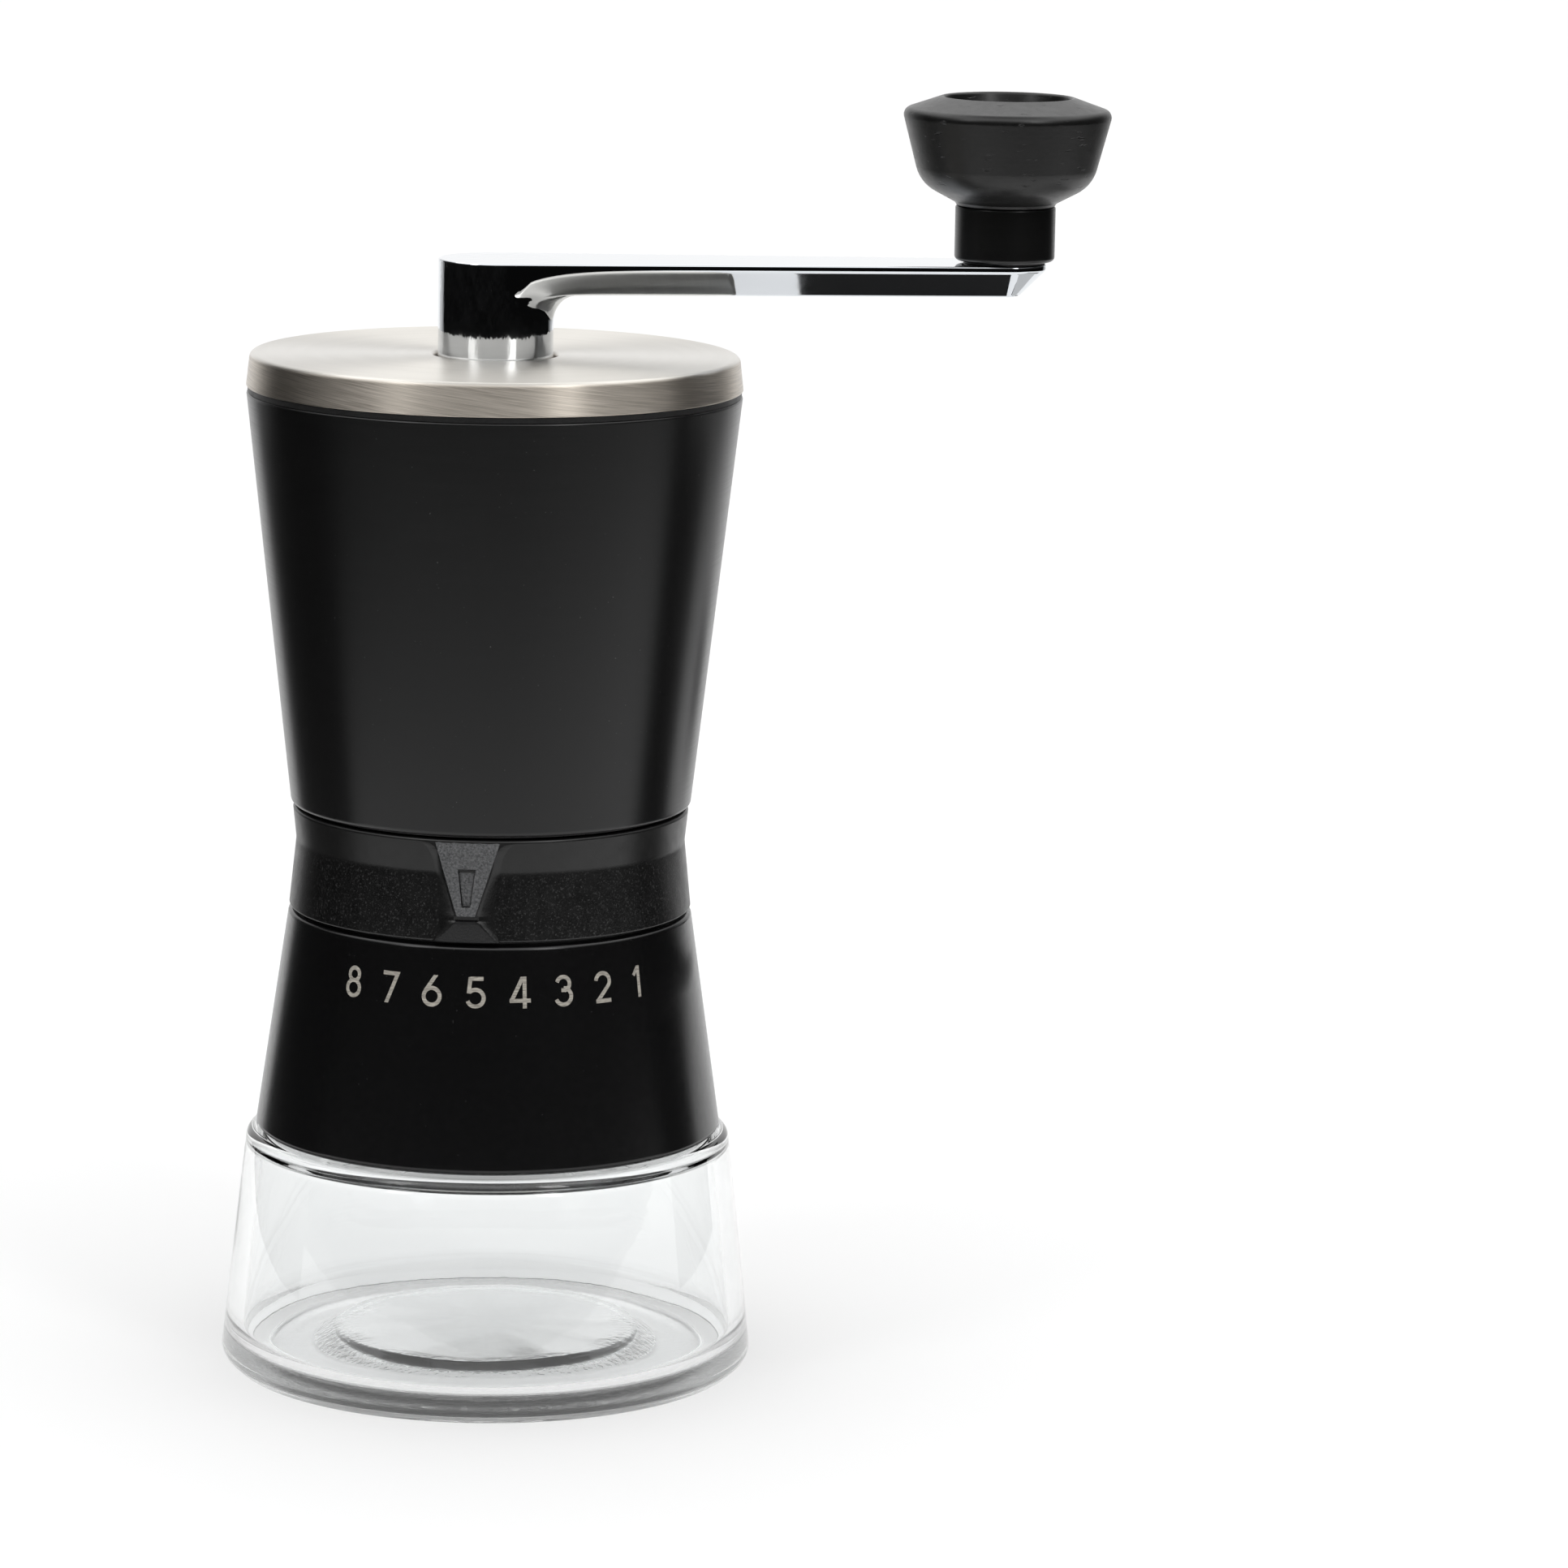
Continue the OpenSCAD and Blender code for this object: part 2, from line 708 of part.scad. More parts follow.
// Screw at the bottom of the knob's dish
module knob_screw() {
    slot_w = 1.2;
    color("silver") translate([crank_l, 0, 0]) difference() {
        union() {
            rod(1.95, bowl_z - 0.5, bowl_z + 6);
            rod(5.4, bowl_z + 5.7, bowl_z + 7.3);
        }
        translate([-6, -slot_w / 2, bowl_z + 6.5]) cube([12, slot_w, 2]);
    }
}

// Turned wooden bowl of the knob, with a deep dish in its top
module knob_bowl() {
    r = knob_d / 2;
    dish_r = 10.3;
    z0 = bowl_z;
    max_z = bowl_top_z - 2.9;
    color([0.1, 0.1, 0.1]) translate([crank_l, 0, 0])
        turned(concat(
            [[bush_r, z0], [7.9, z0], [9.7, z0 + 0.8]],
            arc([9, z0 + 5.6], 5.2, -60, -12, 4),
            [[r - 0.3, max_z - 1.3]],
            arc([r - 1.3, max_z], 1.3, -15, 62, 4),
            arc([dish_r + 0.5, bowl_top_z - 1], 1, 70, 180, 5),
            [[8.6, z0 + 9.5]],
            arc([7.1, z0 + 9], 1.5, 0, -90, 3),
            [[6.4, z0 + 7.5], [6.4, z0 + 5.5], [bush_r, z0 + 5.5]]
        ));
}

// Smooth sleeve that forms the knob's neck, recessed over the washer
module knob_neck() {
    edge = 0.6;
    recess_r = 6.9;
    r = neck_sleeve_d / 2;
    color([0.08, 0.08, 0.08]) translate([crank_l, 0, 0])
        turned([
            [bush_r, neck_recess_z], [recess_r, neck_recess_z], [recess_r, knob_neck_z],
            [r - edge, knob_neck_z], [r, knob_neck_z + edge], [r, bowl_z - edge],
            [r - edge, bowl_z - run], [bush_r, bowl_z - run]
        ]);
}

// Bush between the knob and its pin
module knob_bush() {
    color("ivory") translate([crank_l, 0, 0])
        tube(bush_r - run, shaft_r + run, neck_recess_z + 0.1, bowl_z + 5.2);
}

// Pressed steel cover of the lid, turned in at its hole
module lid_cover() {
    t = 0.85;
    edge = 1;
    r = lid_d / 2;
    top_r = r - 0.6;
    hole_r = lid_hole_d / 2;
    color("silver")
        turned(concat(
            [[r - t, lid_z], [r, lid_z]],
            arc([top_r - edge, lid_top_z - edge], edge, 0, 90, 5),
            arc([hole_r + edge, lid_top_z - edge], edge, 90, 180, 4),
            [[hole_r, lid_top_z - 2.1], [hole_r + t, lid_top_z - 2.1]],
            [[hole_r + t, lid_top_z - edge], [hole_r + edge, lid_top_z - t]],
            [[top_r - edge, lid_top_z - t], [top_r - t, lid_top_z - edge]]
        ));
}

// Plastic part of the lid: a rim that rests on the hopper and a plug that fits in its mouth
module lid_insert() {
    hole_r = lid_hole_d / 2 + 0.1;
    rim_r = lid_d / 2 - 0.25;
    plug_r = 36.3;
    plug_z = lid_z - 7;
    plate = 2;
    groove_z = lid_z - 5;
    color("black") difference() {
        turned([
            [hole_r, plug_z + 2], [hole_r + 1.8, plug_z + 2], [hole_r + 1.8, lid_z],
            [plug_r - 1.5, lid_z], [plug_r - 1.5, plug_z], [plug_r, plug_z],
            [plug_r, hopper_top_z + run], [rim_r, hopper_top_z + run], [rim_r, lid_z - run],
            [lid_d / 2 - 1.2, lid_z - run], [lid_d / 2 - 1.2, lid_z + plate],
            [hole_r + 1.8, lid_z + plate], [hole_r + 1.8, lid_top_z - 2.2], [hole_r, lid_top_z - 2.2]
        ]);
        tube(plug_r + over, plug_r - 0.6, groove_z, groove_z + 2);
    }
}

// Soft ring in the plug's groove
module lid_gasket() {
    color("dimgray") tube(36.8, 35.75, lid_z - 4.9, lid_z - 3.1);
}

glass_jar();
jar_seal();
numbered_skirt();
jar_collar();
chassis();
collar_screws();
hopper_screws();
hopper_shell();
hopper_liner();
shaft_bridge();
upper_bush();
lower_bush();
click_ball();
click_spring();
setting_ring();
ring_keys();
burr_carrier();
outer_burr();
burr_retainer();
retainer_screws();
drive_shaft();
inner_burr();
burr_driver();
burr_washer();
burr_nut();
burr_spring();
thrust_washer();
shaft_clip();
crank_arm();
hub_socket();
knob_pin();
knob_washer();
knob_screw();
knob_bowl();
knob_neck();
knob_bush();
lid_cover();
lid_insert();
lid_gasket();
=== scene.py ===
"""Looks of a hand crank coffee grinder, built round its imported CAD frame.

Outlines and profiles are in millimetres in the CAD's own frame: +Z up from the jar's foot, the
crank along +X, the setting numbers facing -Y. Meshes are scaled to metres when they are made.
"""

import json
from math import asin, atan2, ceil, cos, degrees, exp, pi, radians, sin, sqrt, tan

import bmesh
import bpy
import numpy as np
from mathutils import Matrix, Vector, geometry, noise


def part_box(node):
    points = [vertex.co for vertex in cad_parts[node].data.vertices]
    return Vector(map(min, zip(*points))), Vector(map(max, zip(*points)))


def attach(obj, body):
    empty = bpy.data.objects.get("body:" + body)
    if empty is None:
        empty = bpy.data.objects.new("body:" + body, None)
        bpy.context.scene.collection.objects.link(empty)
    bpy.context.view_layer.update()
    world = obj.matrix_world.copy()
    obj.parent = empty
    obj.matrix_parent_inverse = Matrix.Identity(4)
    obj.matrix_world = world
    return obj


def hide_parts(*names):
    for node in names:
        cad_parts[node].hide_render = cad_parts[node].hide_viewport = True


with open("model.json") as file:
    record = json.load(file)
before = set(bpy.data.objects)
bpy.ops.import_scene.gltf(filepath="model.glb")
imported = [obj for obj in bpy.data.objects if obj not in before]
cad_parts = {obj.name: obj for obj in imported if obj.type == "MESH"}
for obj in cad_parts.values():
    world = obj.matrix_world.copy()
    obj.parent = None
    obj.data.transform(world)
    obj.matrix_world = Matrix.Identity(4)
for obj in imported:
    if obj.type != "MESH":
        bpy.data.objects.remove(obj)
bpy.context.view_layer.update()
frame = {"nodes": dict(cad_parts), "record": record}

MM = 0.001
# How far the extra points beside a fillet stand from it, in millimetres
GUARD = 0.04
SMOOTH_ANGLE = radians(40)


# ---------------------------------------------------------------- sizes, from the frame

def span(node):
    """Lowest and highest z of a CAD node and its largest radius, in millimetres."""
    low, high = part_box(node)
    return low.z / MM, high.z / MM, high.y / MM


JAR_TOP, JAR_R = span("glass_jar")[1:]
SKIRT_Z, SKIRT_TOP, SKIRT_R = span("numbered_skirt")
RING_Z, RING_TOP, RING_R = span("setting_ring")
HOPPER_Z, HOPPER_TOP, HOPPER_R = span("hopper_shell")
LID_Z, LID_TOP, LID_R = span("lid_cover")
HUB_Z, ARM_TOP, HUB_R = span("crank_arm")
NECK_Z, NECK_TOP, NECK_R = span("knob_neck")
BOWL_Z, BOWL_TOP, BOWL_R = span("knob_bowl")
KNOB_X = (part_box("knob_neck")[0].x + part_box("knob_neck")[1].x) / 2 / MM

# Sizes that the boxes don't show, in millimetres; POINTER_ANGLE and NUMBER_STEP are in degrees
JAR_SHOULDER_R = 39.3
JAR_NECK_R = 32.2
SKIRT_TOP_R = 32.75
RING_WAIST_R = 31.6
RING_LIP_R = 32.15
RING_BORE_R = 29.3
HOPPER_LOW_R = 32.45
SHELL = 1.0
LID_HOLE_R = 9.9
ARM_T = 5.4
POINTER_ANGLE = -9
TONGUE_TIP_Z, TONGUE_TIP = RING_Z + 4.3, 1.5
TONGUE_TOP_Z, TONGUE_TOP = RING_TOP - 1.9, 4.75
SLOT_LOW_Z, SLOT_LOW = RING_Z + 5.8, 0.66
SLOT_TOP_Z, SLOT_TOP = RING_Z + 11.8, 1.4
NUMBER_STEP = 12


# ---------------------------------------------------------------- camera

def camera():
    """A long lens about a metre away, a little above and to the left of the object, rolled by a degree."""
    distance, height, side = 1.05438, 0.29087, radians(2.4)
    heading, pitch, roll = radians(4.99), radians(10.44), radians(1.0323)
    data = bpy.data.cameras.new("camera")
    data.lens = 151.08
    data.sensor_width = 36
    data.clip_start, data.clip_end = 0.05, 50
    eye = bpy.data.objects.new("camera", data)
    bpy.context.scene.collection.objects.link(eye)
    look = Vector((sin(heading) * cos(pitch), cos(heading) * cos(pitch), -sin(pitch)))
    level = Vector((cos(heading), -sin(heading), 0))
    upright = level.cross(look)
    right = level * cos(roll) + upright * sin(roll)
    up = upright * cos(roll) - level * sin(roll)
    turn = Matrix((right, up, -look)).transposed()
    stand = Vector((-distance * sin(side), -distance * cos(side), height))
    eye.matrix_world = Matrix.Translation(stand) @ turn.to_4x4()
    bpy.context.scene.camera = eye


# ---------------------------------------------------------------- outlines and meshes

def arc(centre, radius, start, end, steps):
    """Points of an arc, from one angle to another in degrees."""
    return [
        (centre[0] + radius * cos(radians(start + (end - start) * i / steps)),
         centre[1] + radius * sin(radians(start + (end - start) * i / steps)))
        for i in range(steps + 1)
    ]


def rounded(corners, step=12):
    """A closed outline through corners (x, y, fillet radius). Each fillet is an arc with a close point
    before and after it, which keeps the shading of the flats beside it flat."""
    outline = []
    count = len(corners)
    for i, (x, y, radius) in enumerate(corners):
        here = Vector((x, y))
        if radius == 0:
            outline.append((x, y))
            continue
        back = (Vector(corners[i - 1][:2]) - here).normalized()
        ahead = (Vector(corners[(i + 1) % count][:2]) - here).normalized()
        half = back.angle(ahead) / 2
        reach = radius / tan(half)
        centre = here + (back + ahead).normalized() * radius / sin(half)
        first = here + back * reach - centre
        turn = (pi - 2 * half) * (1 if back.cross(ahead) < 0 else -1)
        steps = max(2, ceil(degrees(abs(turn)) / step))
        outline.append(tuple(here + back * (reach + GUARD)))
        for k in range(steps + 1):
            outline.append(tuple(centre + Matrix.Rotation(turn * k / steps, 2) @ first))
        outline.append(tuple(here + ahead * (reach + GUARD)))
    return outline


def packed(outline, low, high, gap):
    """The same profile with points no more than a gap apart between two heights."""
    dense = []
    for (r0, z0), (r1, z1) in zip(outline, outline[1:] + outline[:1]):
        dense.append((r0, z0))
        if low <= min(z0, z1) and max(z0, z1) <= high:
            parts = ceil(sqrt((r1 - r0) ** 2 + (z1 - z0) ** 2) / gap)
            dense += [(r0 + (r1 - r0) * k / parts, z0 + (z1 - z0) * k / parts) for k in range(1, parts)]
    return dense


def piece(name, verts, faces, body, material, stands_for=()):
    """A smooth mesh object from points in millimetres, riding on a body."""
    mesh = bpy.data.meshes.new(name)
    mesh.from_pydata([tuple(float(c) * MM for c in v) for v in verts], [], faces)
    work = bmesh.new()
    work.from_mesh(mesh)
    bmesh.ops.remove_doubles(work, verts=work.verts, dist=1e-8)
    bmesh.ops.dissolve_degenerate(work, edges=work.edges, dist=1e-8)
    bmesh.ops.recalc_face_normals(work, faces=work.faces)
    work.to_mesh(mesh)
    work.free()
    mesh.shade_smooth()
    mesh.set_sharp_from_angle(angle=SMOOTH_ANGLE)
    made = bpy.data.objects.new(name, mesh)
    bpy.context.scene.collection.objects.link(made)
    mesh.materials.append(material)
    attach(made, body)
    if stands_for:
        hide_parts(*stands_for)
    return made


def turned(profile, centre_x=0, segments=192, shape=None):
    """Points and faces of a closed profile of (radius, height) turned about an upright axis.
    shape(angle, radius, height) may move each point."""
    verts, loops = [], []
    for radius, z in profile:
        if radius < 1e-6:
            loops.append([len(verts)] * segments)
            verts.append((centre_x, 0, z))
            continue
        loops.append(list(range(len(verts), len(verts) + segments)))
        for j in range(segments):
            angle = 2 * pi * j / segments
            r, h = shape(angle, radius, z) if shape else (radius, z)
            verts.append((centre_x + r * cos(angle), r * sin(angle), h))
    faces = []
    for lower, upper in zip(loops, loops[1:] + loops[:1]):
        for j in range(segments):
            k = (j + 1) % segments
            face = list(dict.fromkeys([lower[j], lower[k], upper[k], upper[j]]))
            if len(face) > 2:
                faces.append(face)
    return verts, faces


# ---------------------------------------------------------------- material nodes

def add(tree, kind, inputs=None, **settings):
    """A shader node with its inputs set or linked."""
    made = tree.nodes.new("ShaderNode" + kind)
    for key, value in settings.items():
        setattr(made, key, value)
    for key, value in (inputs or {}).items():
        if isinstance(value, bpy.types.NodeSocket):
            tree.links.new(value, made.inputs[key])
        else:
            made.inputs[key].default_value = value
    return made


def maths(tree, operation, *values):
    return add(tree, "Math", dict(enumerate(values)), operation=operation).outputs[0]


def principled(name, colour, **sockets):
    """A Principled material; keywords are socket names with _ for spaces."""
    material = bpy.data.materials.new(name)
    material.use_nodes = True
    shader = material.node_tree.nodes["Principled BSDF"]
    shader.inputs["Base Color"].default_value = (*colour, 1)
    for key, value in sockets.items():
        shader.inputs[key.replace("_", " ")].default_value = value
    return material.node_tree, shader, material


def place(tree):
    return add(tree, "TexCoord").outputs["Object"]


def streaks(tree, along_x=0.0, round_scale=60.0, rise_scale=9000.0, skew=0.0):
    """Coordinates for marks that run round an upright axis on a wall, or slant across it."""
    x, y, z = add(tree, "SeparateXYZ", {0: place(tree)}).outputs
    x = maths(tree, "SUBTRACT", x, along_x)
    return add(tree, "CombineXYZ", {
        0: maths(tree, "MULTIPLY", x, round_scale),
        1: maths(tree, "MULTIPLY", y, round_scale),
        2: maths(tree, "MULTIPLY_ADD", x, skew, maths(tree, "MULTIPLY", z, rise_scale)),
    }).outputs[0]


def rings(tree, along_x=0.0, round_scale=1.0, cross_scale=9000.0):
    """Coordinates for marks that run round an upright axis on a flat top."""
    x, y, z = add(tree, "SeparateXYZ", {0: place(tree)}).outputs
    x = maths(tree, "SUBTRACT", x, along_x)
    radius = from_axis(tree, x, y)
    return add(tree, "CombineXYZ", {
        0: maths(tree, "MULTIPLY", maths(tree, "DIVIDE", x, radius), round_scale),
        1: maths(tree, "MULTIPLY", maths(tree, "DIVIDE", y, radius), round_scale),
        2: maths(tree, "MULTIPLY", maths(tree, "ADD", radius, z), cross_scale),
    }).outputs[0]


def cloud(tree, scale, detail=4.0, vector=None, roughness=0.5):
    """Noise from 0 to 1 at a scale, in object space unless a vector is given."""
    return add(tree, "TexNoise", {
        "Vector": vector if vector is not None else place(tree),
        "Scale": scale, "Detail": detail, "Roughness": roughness,
    }).outputs[0]


def spread(tree, value, low, high, from_low=0.3, from_high=0.7):
    """A value mapped to a new range."""
    return add(tree, "MapRange", {
        "Value": value, "From Min": from_low, "From Max": from_high, "To Min": low, "To Max": high,
    }).outputs[0]


def tint(tree, value, dark, light):
    """A colour between two, by a value."""
    mix = add(tree, "Mix", data_type="RGBA")
    tree.links.new(value, mix.inputs["Factor"])
    mix.inputs[6].default_value = (*dark, 1)
    mix.inputs[7].default_value = (*light, 1)
    return mix.outputs[2]


def bump(tree, shader, *layers):
    """Bump layers (height, depth in metres) stacked on a shader."""
    normal = None
    for height, depth in layers:
        inputs = {"Height": height, "Distance": depth}
        if normal is not None:
            inputs["Normal"] = normal
        normal = add(tree, "Bump", inputs).outputs[0]
    tree.links.new(normal, shader.inputs["Normal"])


def link(tree, value, shader, socket):
    tree.links.new(value, shader.inputs[socket])


def blended(tree, factor, under, over):
    """One colour over another, by a factor. Each is a node's output or three numbers."""
    under, over = (c if isinstance(c, bpy.types.NodeSocket) else (*c, 1) for c in (under, over))
    return add(tree, "Mix", {"Factor": factor, 6: under, 7: over}, data_type="RGBA").outputs[2]


def from_axis(tree, x, y):
    """Distance from the upright axis."""
    squares = (maths(tree, "MULTIPLY", value, value) for value in (x, y))
    return maths(tree, "SQRT", maths(tree, "ADD", *squares))


def round_axis(tree, shader):
    """Brushing that runs round the upright axis."""
    link(tree, add(tree, "Tangent", direction_type="RADIAL", axis="Z").outputs[0], shader, "Tangent")


# ---------------------------------------------------------------- materials

def glass():
    """Clear pressed glass, gently wavy, stippled low down in its base."""
    tree, shader, made = principled("jar_glass", (0.975, 0.985, 0.985), IOR=1.5,
                                    Transmission_Weight=1.0)
    x, y, z = add(tree, "SeparateXYZ", {0: place(tree)}).outputs
    radius = from_axis(tree, x, y)
    under = maths(tree, "MULTIPLY", spread(tree, z, 1, 0, 3.1 * MM, 3.3 * MM),
                  spread(tree, radius, 1, 0, 35.5 * MM, 36 * MM))
    link(tree, maths(tree, "MULTIPLY", under, 0.3), shader, "Roughness")
    stipple = maths(tree, "MULTIPLY", cloud(tree, 900, 2), under)
    bump(tree, shader, (cloud(tree, 45, 1), 0.00012), (cloud(tree, 220, 2), 0.000008),
         (stipple, 0.00015))
    return made


def silicone():
    tree, shader, made = principled("silicone", (0.09, 0.09, 0.09))
    link(tree, tint(tree, cloud(tree, 300), (0.07, 0.07, 0.07), (0.11, 0.11, 0.11)), shader, "Base Color")
    link(tree, spread(tree, cloud(tree, 400), 0.5, 0.7), shader, "Roughness")
    bump(tree, shader, (cloud(tree, 3000), 0.00001))
    return made


def coated_metal():
    """Gloss black coating with a faint orange peel and a little dust."""
    tree, shader, made = principled("black_coated_metal", (0.006, 0.006, 0.006),
                                    Specular_IOR_Level=0.45)
    dust = spread(tree, cloud(tree, 2600, 1), 0, 1, 0.78, 0.8)
    link(tree, tint(tree, dust, (0.003, 0.003, 0.0032), (0.03, 0.03, 0.03)), shader, "Base Color")
    link(tree, spread(tree, cloud(tree, 900), 0.21, 0.25), shader, "Roughness")
    bump(tree, shader, (cloud(tree, 3000, 2), 0.000002))
    return made


def moulded_plastic(name, shade, rough, grain_scale, grain_depth):
    """Moulded plastic with a sparked grain."""
    tree, shader, made = principled(name, shade)
    grain = cloud(tree, grain_scale, 3)
    darker = tuple(c * 0.8 for c in shade)
    lighter = tuple(c * 1.2 for c in shade)
    link(tree, tint(tree, spread(tree, grain, 0, 1), darker, lighter), shader, "Base Color")
    link(tree, spread(tree, cloud(tree, grain_scale * 0.2), rough - 0.05, rough + 0.05), shader, "Roughness")
    bump(tree, shader, (grain, grain_depth))
    return made


def half_width(tree, z, low_z, low, top_z, top):
    """Half width at a height of a shape whose sides are straight lines, both in millimetres."""
    widen = (top - low) / (top_z - low_z)
    return maths(tree, "MULTIPLY_ADD", z, widen, (low - widen * low_z) * MM)


def over_z(tree, z, low, high, start=0, end=1):
    """A ramp between two heights in millimetres."""
    return spread(tree, z, start, end, low * MM, high * MM)


def tongue_face(tree, z, aside):
    """Where the pointer's raised face is."""
    edge = half_width(tree, z, TONGUE_TIP_Z, TONGUE_TIP, TONGUE_TOP_Z, TONGUE_TOP)
    inside = spread(tree, maths(tree, "SUBTRACT", edge, aside), 0, 1, 0, 0.08 * MM)
    return maths(tree, "MULTIPLY", inside, over_z(tree, z, TONGUE_TIP_Z, TONGUE_TIP_Z + 0.05))


def slot_painted_shade(tree, z, aside):
    """Painted shade inside the pointer's slot: dark lines at its sides and bottom, a band below its top."""
    wall = half_width(tree, z, SLOT_LOW_Z, SLOT_LOW, SLOT_TOP_Z, SLOT_TOP)
    inward = maths(tree, "SUBTRACT", wall, aside)
    within = spread(tree, inward, 0, 1, -0.05 * MM, 0)
    beside = spread(tree, inward, 1, 0, 0.1 * MM, 0.16 * MM)
    # Painted shadow: a band under the slot's top edge, where its top wall would shade it
    above = over_z(tree, z, SLOT_TOP_Z - 0.62, SLOT_TOP_Z - 0.5)
    below = over_z(tree, z, SLOT_LOW_Z + 0.08, SLOT_LOW_Z + 0.15, 1, 0)
    rim = maths(tree, "MAXIMUM", beside, maths(tree, "MAXIMUM", above, below))
    tall = maths(tree, "MULTIPLY", over_z(tree, z, SLOT_LOW_Z - 0.05, SLOT_LOW_Z),
                 over_z(tree, z, SLOT_TOP_Z, SLOT_TOP_Z + 0.05, 1, 0))
    return maths(tree, "MULTIPLY", maths(tree, "MULTIPLY", rim, within), tall)


def pointer_foot(tree, z, aside):
    """Where the pointer's flared foot is."""
    edge = maths(tree, "MULTIPLY_ADD", z, -1.0, (RING_Z + 5.1) * MM)
    inside = spread(tree, maths(tree, "SUBTRACT", edge, aside), 0, 1, 0, 0.3 * MM)
    return maths(tree, "MULTIPLY", inside, over_z(tree, z, RING_Z + 3.45, RING_Z + 3.6, 1, 0))


def ring_plastic(name, tongue=False):
    """Black plastic, smooth on the flare and sparked below it; the sparked grain carries painted glints.
    The pointer's face has a coarser, paler grain, and its coves and slot edges are painted dark as shade."""
    tree, shader, made = principled(name, (0.012, 0.012, 0.012))
    x, y, z = add(tree, "SeparateXYZ", {0: place(tree)}).outputs
    flare = over_z(tree, z, RING_Z + 10.2, RING_Z + 11.4)
    plain = maths(tree, "SUBTRACT", 1.0, flare)
    fine = cloud(tree, 2700, 2, roughness=0.75)
    # The sparked grain itself is real bump; its light specks are painted glints, standing in for its tiny
    # highlights
    painted_glints = maths(tree, "MULTIPLY", spread(tree, fine, 0, 1, 0.56, 0.7), plain)
    base = tint(tree, flare, (0.0028, 0.0028, 0.0028), (0.007, 0.007, 0.007))
    colour = blended(tree, painted_glints, base, (0.05, 0.05, 0.05))
    grain = maths(tree, "MULTIPLY", fine, maths(tree, "MULTIPLY_ADD", plain, 0.9, 0.15))
    layers = [(grain, 0.00003)]
    if tongue:
        angle = radians(POINTER_ANGLE)
        across = (maths(tree, "MULTIPLY", x, cos(angle)), maths(tree, "MULTIPLY", y, sin(angle)))
        aside = maths(tree, "ABSOLUTE", maths(tree, "ADD", *across))
        face = tongue_face(tree, z, aside)
        coarse = cloud(tree, 2900, 3, roughness=0.6)
        pale = tint(tree, spread(tree, coarse, 0, 1), (0.035, 0.036, 0.038), (0.155, 0.157, 0.161))
        # Painted shade: dark lines and a shadow band inside the slot, over the face's grain
        pale = blended(tree, slot_painted_shade(tree, z, aside), pale, (0.004, 0.004, 0.004))
        # Painted shade: the coves either side of the pointer's face are coloured near black
        cove = spread(tree, aside, 1, 0, 4.2 * MM, 5.2 * MM)
        colour = blended(tree, cove, colour, (0.0012, 0.0012, 0.0012))
        colour = blended(tree, pointer_foot(tree, z, aside), colour, (0.016, 0.016, 0.0165))
        colour = blended(tree, face, colour, pale)
        layers.append((maths(tree, "MULTIPLY", coarse, face), 0.0002))
    link(tree, colour, shader, "Base Color")
    link(tree, spread(tree, cloud(tree, 500), 0.3, 0.37), shader, "Roughness")
    bump(tree, shader, *layers)
    return made


def satin_hopper():
    """Black satin metal, brushed round the cone, with fine scratches and dust."""
    tree, shader, made = principled("brushed_black_metal", (0.012, 0.012, 0.012),
                                    Anisotropic=0.6, Anisotropic_Rotation=0.25)
    brushed = cloud(tree, 1, 4, streaks(tree, rise_scale=7000), 0.6)
    dust = spread(tree, cloud(tree, 2400, 1), 0, 1, 0.79, 0.81)
    base = tint(tree, brushed, (0.0038, 0.0038, 0.004), (0.005, 0.005, 0.0052))
    link(tree, blended(tree, dust, base, (0.08, 0.08, 0.08)), shader, "Base Color")
    link(tree, spread(tree, brushed, 0.28, 0.33), shader, "Roughness")
    round_axis(tree, shader)
    bump(tree, shader, (brushed, 0.0000015))
    return made


def steel(name, colour, rough, scale=2000.0):
    """Plain bright steel for screws, pins and washers, with turning marks."""
    tree, shader, made = principled(name, colour, Metallic=1.0)
    marks = cloud(tree, 1, 3, streaks(tree, round_scale=90, rise_scale=scale))
    link(tree, tint(tree, marks, tuple(c * 0.85 for c in colour), colour), shader, "Base Color")
    link(tree, spread(tree, marks, rough - 0.06, rough + 0.08), shader, "Roughness")
    bump(tree, shader, (marks, 0.000002))
    return made


def turned_steel():
    """Stainless lid: rings turned in its top, slanting brush marks round its side."""
    tree, shader, made = principled("turned_steel", (0.62, 0.6, 0.57), Metallic=1.0, Anisotropic=0.85,
                                    Anisotropic_Rotation=0.25)
    top = cloud(tree, 1, 5, rings(tree, round_scale=3, cross_scale=4200), 0.65)
    broad = cloud(tree, 1, 3, rings(tree, round_scale=1.2, cross_scale=420))
    side = cloud(tree, 1, 5, streaks(tree, round_scale=110, rise_scale=6500, skew=900), 0.62)
    up = add(tree, "SeparateXYZ", {0: add(tree, "NewGeometry").outputs["Normal"]}).outputs[2]
    flat = spread(tree, up, 0, 1, 0.3, 0.8)
    marks = add(tree, "Mix", {"Factor": flat, "A": side, "B": top}).outputs[0]
    upper = tint(tree, maths(tree, "MULTIPLY", maths(tree, "ADD", marks, broad), 0.5),
                 (0.57, 0.55, 0.51), (0.75, 0.725, 0.68))
    lower = tint(tree, spread(tree, side, 0, 1), (0.47, 0.425, 0.365), (0.78, 0.715, 0.635))
    link(tree, blended(tree, flat, lower, upper), shader, "Base Color")
    worn = maths(tree, "MULTIPLY_ADD", flat, -0.09, 0.05)
    link(tree, maths(tree, "ADD", spread(tree, marks, 0.34, 0.42), worn), shader, "Roughness")
    round_axis(tree, shader)
    bump(tree, shader, (marks, 0.0000012), (broad, 0.000012))
    return made


